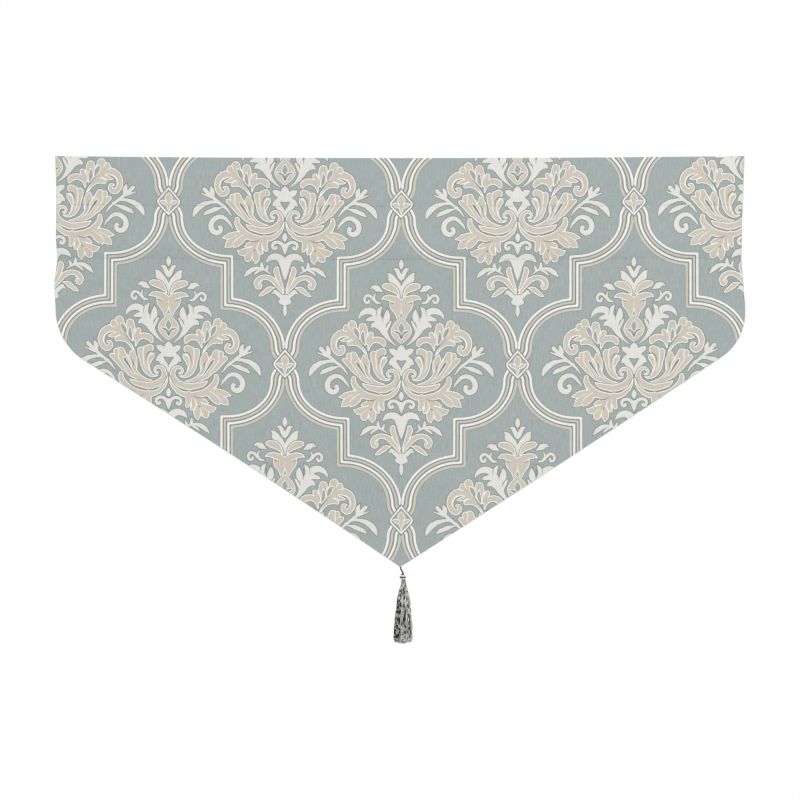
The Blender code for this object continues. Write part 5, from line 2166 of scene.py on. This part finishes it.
class NodeSheet:
    """A material on the bench: adds its nodes, sets their values and joins them."""

    # The wave texture's scale at which one band is as long as one unit of its coordinates
    BAND_SCALE = 0.3141593

    def __init__(self, name: str) -> None:
        """Start a material with nothing but its surface shader and output."""
        self.material = bpy.data.materials.new(name)
        self.material.use_nodes = True
        self.tree = self.material.node_tree
        self.shader = self.tree.nodes["Principled BSDF"]

    def feed(self, node: bpy.types.Node, inputs: dict[str, object]) -> None:
        """Join a node's inputs to other sockets, or set their values.

        Args:
            node: The node.
            inputs: Values or sockets by the inputs' names with _ for a space, or by _ and their number.
        """
        for name, value in inputs.items():
            socket = node.inputs[int(name[1:]) if name[1:].isdigit() else name.replace("_", " ")]
            if isinstance(value, bpy.types.NodeSocket):
                self.tree.links.new(value, socket)
            else:
                socket.default_value = value

    def surface(self, **inputs: object) -> bpy.types.Material:
        """Feed the surface shader, and return the finished material."""
        self.feed(self.shader, inputs)
        return self.material

    def add(self, kind: str, settings: dict | None = None, **inputs: object) -> bpy.types.Node:
        """Add a node.

        Args:
            kind: Its type without the leading ShaderNode.
            settings: Its own settings by name.
            **inputs: Values or sockets for its inputs, named as in feed.

        Returns:
            The node.
        """
        node = self.tree.nodes.new("ShaderNode" + kind)
        for name, value in (settings or {}).items():
            setattr(node, name, value)
        self.feed(node, inputs)
        return node

    def maths(self, operation: str, first: object, second: object = 0.0) -> bpy.types.NodeSocket:
        """The result of one sum."""
        return self.add("Math", {"operation": operation}, _0=first, _1=second).outputs[0]

    def placed(self, source: bpy.types.NodeSocket, scale: tuple[float, float, float]) -> bpy.types.NodeSocket:
        """Coordinates scaled."""
        return self.add("Mapping", None, Vector=source, Scale=scale).outputs[0]

    def noise(self, place: bpy.types.NodeSocket, detail: float, roughness: float) -> bpy.types.NodeSocket:
        """Soft noise from 0 to 1 at unit scale."""
        node = self.add("TexNoise", None, Vector=place, Scale=1.0, Detail=detail, Roughness=roughness)
        return node.outputs["Fac"]

    def bands(
        self, place: bpy.types.NodeSocket, direction: str, bands_a_unit: float = 1.0
    ) -> bpy.types.NodeSocket:
        """Soft bands from 0 to 1 that follow each other in a direction."""
        settings = {"wave_type": "BANDS", "bands_direction": direction}
        node = self.add("TexWave", settings, Vector=place, Scale=self.BAND_SCALE * bands_a_unit)
        return node.outputs["Fac"]

    def spread(self, value: bpy.types.NodeSocket, low: float, high: float,
               near: float = 0.0, far: float = 1.0) -> bpy.types.NodeSocket:
        """A value from near to far laid out from low to high."""
        node = self.add("MapRange", None, Value=value, From_Min=near, From_Max=far, To_Min=low, To_Max=high)
        return node.outputs[0]

    def chosen(self, share: bpy.types.NodeSocket, first: object, second: object) -> bpy.types.NodeSocket:
        """The first value where the share is 0 and the second where it is 1."""
        return self.add("Mix", {"data_type": "FLOAT"}, _0=share, _2=first, _3=second).outputs[0]

    def shaded(self, colour: object, shade: object) -> bpy.types.NodeSocket:
        """A colour multiplied by a shade."""
        settings = {"data_type": "RGBA", "blend_type": "MULTIPLY"}
        return self.add("Mix", settings, _0=1.0, _6=colour, _7=shade).outputs[2]

    def ramp(
        self, value: bpy.types.NodeSocket, stops: list[tuple[float, Colour]], kind: str
    ) -> bpy.types.NodeSocket:
        """A colour for each value."""
        node = self.add("ValToRGB", None, Fac=value)
        band = node.color_ramp
        band.interpolation = kind
        while len(band.elements) < len(stops):
            band.elements.new(1.0)
        for element, (place, colour) in zip(band.elements, stops):
            element.position = place
            element.color = (*colour, 1.0)
        return node.outputs[0]

    def bumped(self, height: bpy.types.NodeSocket, strength: float, distance: float) -> bpy.types.NodeSocket:
        """A surface direction raised by a height."""
        return self.add("Bump", None, Height=height, Strength=strength, Distance=distance).outputs[0]


@dataclass(frozen=True)
class DamaskFinish:
    """Woven damask: a slubbed teal ground with beige and off-white figures, matt with a faint sheen.

    Pairs of tints are the darkest and the lightest that a kind of unevenness makes the yarn.
    """

    light_on_face: float = 1.09
    colours: tuple[tuple[Yarn, tuple[int, int, int]], ...] = (
        (Yarn.GROUND, (163, 174, 172)),
        (Yarn.SHADE, (137, 143, 137)),
        (Yarn.CREAM, (240, 239, 233)),
        (Yarn.BEIGE, (205, 198, 184)),
        (Yarn.WHITE, (226, 225, 219)),
        (Yarn.GREIGE, (201, 200, 192)),
        (Yarn.STONE, (204, 201, 190)),
        (Yarn.BACK_GROUND, (190, 190, 180)),
        (Yarn.BACK_FIGURE, (150, 160, 157)),
    )
    warp_pitch: float = 0.00052
    weft_pitch: float = 0.00066
    slub_width: float = 0.0011
    slub_length: float = 0.020
    weft_slub_share: float = 0.8
    clouds_a_metre: Place = (6.0, 4.0)
    fuzz_a_metre: float = 2600.0
    slub_tint: Place = (0.83, 1.17)
    weft_slub_tint: Place = (0.95, 1.05)
    cloud_tint: Place = (0.985, 1.015)
    grain_tint: Place = (0.93, 1.05)
    figure_calm: float = 0.5
    ground_weft_low: float = 0.55
    figure_warp_low: float = 0.45
    slub_relief: float = 0.8
    fuzz_relief: float = 0.35
    relief_strength: float = 0.45
    relief_height: float = 0.00014
    roughness: float = 0.88
    roughness_spread: float = 0.05

    def make(self) -> bpy.types.Material:
        """Make the material, which reads the yarn of each face and the flat cloth's own map."""
        sheet = NodeSheet("jacquard_cloth_woven")
        kinds = len(Yarn)
        yarn = sheet.add("Attribute", {"attribute_name": "yarn"}).outputs["Fac"]
        place = sheet.maths("DIVIDE", sheet.maths("ADD", yarn, 0.5), float(kinds))
        stops = [
            (kind.value / kinds, tuple(channel / self.light_on_face for channel in from_screen(*screen)))
            for kind, screen in self.colours
        ]
        woven = sheet.ramp(place, stops, "CONSTANT")
        flat = sheet.add("UVMap", {"uv_map": "FlatCloth"}).outputs[0]

        slub_scale = (1.0 / self.slub_width, 1.0 / self.slub_length, 1.0)
        weft_slub_scale = (1.0 / self.slub_length, self.weft_slub_share / self.slub_width, 1.0)
        slub = sheet.noise(sheet.placed(flat, slub_scale), 3.0, 0.65)
        weft_slub = sheet.noise(sheet.placed(flat, weft_slub_scale), 2.0, 0.6)
        cloud = sheet.noise(sheet.placed(flat, (*self.clouds_a_metre, 1.0)), 2.0, 0.5)
        tint = sheet.spread(slub, *self.slub_tint, 0.28, 0.72)
        tint = sheet.maths("MULTIPLY", tint, sheet.spread(weft_slub, *self.weft_slub_tint, 0.3, 0.7))
        tint = sheet.maths("MULTIPLY", tint, sheet.spread(cloud, *self.cloud_tint, 0.3, 0.7))

        warp = sheet.bands(sheet.placed(flat, (1.0 / self.warp_pitch, 0.0, 0.0)), "X")
        weft = sheet.bands(sheet.placed(flat, (0.0, 1.0 / self.weft_pitch, 0.0)), "Y")
        figure = sheet.maths("GREATER_THAN", yarn, Yarn.SHADE.value + 0.5)
        calm = sheet.maths("ADD", sheet.maths("MULTIPLY", tint, self.figure_calm), 1.0 - self.figure_calm)
        tint = sheet.chosen(figure, tint, calm)
        ground_grain = sheet.maths("MULTIPLY", warp, sheet.spread(weft, self.ground_weft_low, 1.0))
        figure_grain = sheet.maths("MULTIPLY", weft, sheet.spread(warp, self.figure_warp_low, 1.0))
        grain = sheet.chosen(figure, ground_grain, figure_grain)
        tint = sheet.maths("MULTIPLY", tint, sheet.spread(grain, *self.grain_tint))

        fuzz = sheet.noise(sheet.placed(flat, (self.fuzz_a_metre, self.fuzz_a_metre, 1.0)), 2.0, 0.7)
        height = sheet.maths("ADD", grain, sheet.maths("MULTIPLY", slub, self.slub_relief))
        height = sheet.maths("ADD", height, sheet.maths("MULTIPLY", fuzz, self.fuzz_relief))
        low, high = self.roughness - self.roughness_spread, self.roughness + self.roughness_spread
        return sheet.surface(
            Base_Color=sheet.shaded(woven, tint),
            Normal=sheet.bumped(height, self.relief_strength, self.relief_height),
            Roughness=sheet.spread(slub, low, high),
            Specular_IOR_Level=0.25,
            Sheen_Weight=0.10,
            Sheen_Roughness=0.6,
        )


@dataclass(frozen=True)
class ThreadFinish:
    """Spun thread: a twist that runs round it with painted shade in its grooves, a tone for each thread,
    painted glints along it where wanted, and the gloss of its fibre.

    A tone at or below dark_tone shows the dark colour and one at or above light_tone the light one.
    """

    name: str
    dark: Colour
    light: Colour
    twist_pitch: float
    roughness: float
    gloss: float
    toned: bool = True
    # Painted glints: bright patches of this length along a thread, mixed into its tone by a share; they stand
    # in for its reflections.
    painted_glint_length: float = 0.0078
    painted_glint_share: float = 0.0
    painted_glint_range: Place = (0.42, 0.58)
    tone_scale: float = 60.0
    dark_tone: float = 0.0
    light_tone: float = 1.0
    metal: float = 0.0
    sheen: float = 0.1
    groove_shades: Place = (0.78, 1.08)
    groove_strength: float = 0.5
    groove_height: float = 0.00006
    roughness_spread: Place = (0.06, 0.08)

    def make(self) -> bpy.types.Material:
        """Make the material, which reads the thread's own map and tone."""
        sheet = NodeSheet(self.name)
        along = sheet.add("UVMap", {"uv_map": "Thread"}).outputs[0]
        twist = sheet.bands(sheet.placed(along, (1.0, 1.0 / self.twist_pitch, 0.0)), "DIAGONAL", 2.0)
        # Noise along the thread: it varies the roughness, and on an untoned thread it also sets the colour
        # between the dark and light ends, which is painted light and shade.
        painted_light_and_rough_streak = sheet.noise(sheet.placed(along, (9.0, 90.0, 1.0)), 3.0, 0.6)
        tone = painted_light_and_rough_streak
        if self.toned:
            own = sheet.add("Attribute", {"attribute_name": "tone"}).outputs["Fac"]
            length = sheet.add("SeparateXYZ", None, Vector=along).outputs[1]
            across = sheet.maths("MULTIPLY", own, self.tone_scale)
            down = sheet.maths("DIVIDE", length, self.painted_glint_length)
            strand = sheet.add("CombineXYZ", None, X=across, Y=down).outputs[0]
            # Painted glints: noise along the thread that lightens patches of it, standing in for its
            # reflections.
            gleam = sheet.spread(sheet.noise(strand, 0.0, 0.5), 0.0, 1.0, *self.painted_glint_range)
            tone = sheet.maths("MULTIPLY", gleam, self.painted_glint_share)
            tone = sheet.maths("ADD", tone, sheet.maths("MULTIPLY", own, 1.0 - self.painted_glint_share))
            tone = sheet.spread(tone, 0.0, 1.0, self.dark_tone, self.light_tone)
        colour = sheet.ramp(tone, [(0.0, self.dark), (1.0, self.light)], "LINEAR")
        low, high = self.roughness - self.roughness_spread[0], self.roughness + self.roughness_spread[1]
        return sheet.surface(
            Base_Color=sheet.shaded(colour, sheet.spread(twist, *self.groove_shades)),
            Normal=sheet.bumped(twist, self.groove_strength, self.groove_height),
            Roughness=sheet.spread(painted_light_and_rough_streak, low, high),
            Specular_IOR_Level=self.gloss,
            Metallic=self.metal,
            Sheen_Weight=self.sheen,
        )


@dataclass(frozen=True)
class CoreFinish:
    """The bound cores inside the tassel: dark thread seen between the windings."""

    name: str
    colour: Colour
    pitch: float = 0.0005
    shades: Place = (0.6, 1.1)

    def make(self) -> bpy.types.Material:
        """Make the material, on object coordinates."""
        sheet = NodeSheet(self.name)
        place = sheet.add("TexCoord").outputs["Object"]
        rounds = sheet.bands(sheet.placed(place, (0.0, 0.0, 1.0 / self.pitch)), "Z")
        return sheet.surface(
            Base_Color=sheet.shaded((*self.colour, 1.0), sheet.spread(rounds, *self.shades)),
            Normal=sheet.bumped(rounds, 0.6, 0.0001),
            Roughness=0.7,
        )


@dataclass(frozen=True)
class Studio:
    """A plain pale floor, even white light with a soft key from above, and the camera before the cloth."""

    photo_pixels: float = 800.0
    step: float = 0.0018406
    middle_pixel: Place = (400.3, 158.0)
    distance: float = 5.2
    sensor: float = 36.0
    farthest: float = 60.0
    floor_drop: float = 1.42
    floor_size: float = 9.0
    floor_behind: float = 0.7
    floor_colour: Colour = (0.94, 0.94, 0.935)
    floor_roughness: float = 0.9
    surround: float = 1.0
    key_power: float = 28.0
    key_size: float = 2.6
    key_place: tuple[float, float, float] = (1.05, -2.8, 2.1)
    key_aim: tuple[float, float, float] = (0.2, 0.0, -0.5)

    def place_camera(self) -> None:
        """Put the camera straight before the cloth, so that the frame is the photo's."""
        data = bpy.data.cameras.new("camera")
        data.sensor_width = self.sensor
        data.lens = self.sensor * self.distance / (self.photo_pixels * self.step)
        data.clip_end = self.farthest
        camera = in_scene("camera", data)
        centre = 0.5 * self.photo_pixels
        camera.location = (
            (centre - self.middle_pixel[0]) * self.step,
            -self.distance,
            (self.middle_pixel[1] - centre) * self.step,
        )
        camera.rotation_euler = (0.5 * math.pi, 0.0, 0.0)
        bpy.context.scene.camera = camera

    def lay_floor(self) -> None:
        """Lay the pale floor under the hanging."""
        Bench.clear()
        near = self.floor_behind - 0.5 * self.floor_size
        bpy.ops.mesh.primitive_plane_add(size=self.floor_size, location=(0.0, near, -self.floor_drop))
        floor = bpy.context.object
        floor.name = "floor"
        paint = NodeSheet("floor_paint").surface(
            Base_Color=(*self.floor_colour, 1.0),
            Roughness=self.floor_roughness,
        )
        floor.data.materials.append(paint)

    def light(self) -> None:
        """Fill the room with even white light and hang the soft key before and above the cloth."""
        world = bpy.data.worlds.new("studio")
        world.use_nodes = True
        backdrop = world.node_tree.nodes["Background"]
        backdrop.inputs["Color"].default_value = (1.0, 1.0, 1.0, 1.0)
        backdrop.inputs["Strength"].default_value = self.surround
        bpy.context.scene.world = world
        lamp = bpy.data.lights.new("key", "AREA")
        lamp.shape = "SQUARE"
        lamp.size = self.key_size
        lamp.energy = self.key_power
        key = in_scene("key", lamp)
        key.location = self.key_place
        aim = Vector(self.key_aim) - Vector(self.key_place)
        key.rotation_euler = aim.to_track_quat("-Z", "Y").to_euler()
        bpy.context.scene.view_settings.view_transform = "Standard"


def dress(
    piece: bpy.types.Object, finish: bpy.types.Material, nodes: tuple[str, ...] = ()
) -> None:
    """Give a piece its finish and its place in the frame.

    Args:
        piece: The piece.
        finish: Its material.
        nodes: The solids that the piece stands for.
    """
    piece.data.materials.clear()
    piece.data.materials.append(finish)
    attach(piece, "root")
    if nodes:
        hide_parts(*nodes)
    LOG.info("%s: %d faces", piece.name, len(piece.data.polygons))


def main() -> None:
    logging.basicConfig(level=logging.INFO, format="%(name)s %(message)s")
    Bench.clear()
    studio = Studio()
    studio.place_camera()
    studio.lay_floor()
    studio.light()

    cloth = DamaskCloth().build()
    damask = DamaskFinish()
    dress(cloth, damask.make(), ("face_cloth", "rod_pocket_back"))
    ground = from_screen(*dict(damask.colours)[Yarn.GROUND])
    # Painted shade and light: the sewing thread's colour runs between a shaded and a lit copy of the ground
    # colour.
    in_shade, in_light = (tuple(share * channel for channel in ground) for share in (0.62, 0.95))
    sewing_finish = ThreadFinish("sewing_thread", in_shade, in_light, 0.0009, 0.6, 0.3, toned=False).make()
    seams = SeamSewing().build()
    dress(seams, sewing_finish)
    hems = HemSewing().build()
    dress(hems, sewing_finish)

    silver_finish = ThreadFinish(
        "silver_thread_spun", (0.012, 0.013, 0.010), (0.90, 0.91, 0.86), 0.0016, 0.34, 0.6,
        painted_glint_share=0.45, dark_tone=0.29, light_tone=0.64, metal=0.5,
    ).make()
    winding_finish = ThreadFinish(
        "silver_winding", (0.010, 0.011, 0.009), (0.90, 0.91, 0.87), 0.0016, 0.34, 0.6,
    ).make()
    core_colour = (0.10, 0.105, 0.095)
    cord_finish = ThreadFinish("cord_yarn", (0.008, 0.009, 0.007), core_colour, 0.0011, 0.5, 0.25).make()
    core_finish = CoreFinish("bound_core", core_colour).make()
    dress(TasselCord().build(), cord_finish, ("tassel_cord",))
    head = TasselHead()
    dress(head.build_core(), core_finish, ("tassel_head",))
    dress(head.build_windings(), winding_finish)
    skirt = TasselSkirt()
    dress(skirt.build_core(), core_finish)
    dress(skirt.build(), silver_finish, ("tassel_skirt",))


if __name__ == "__main__":
    main()
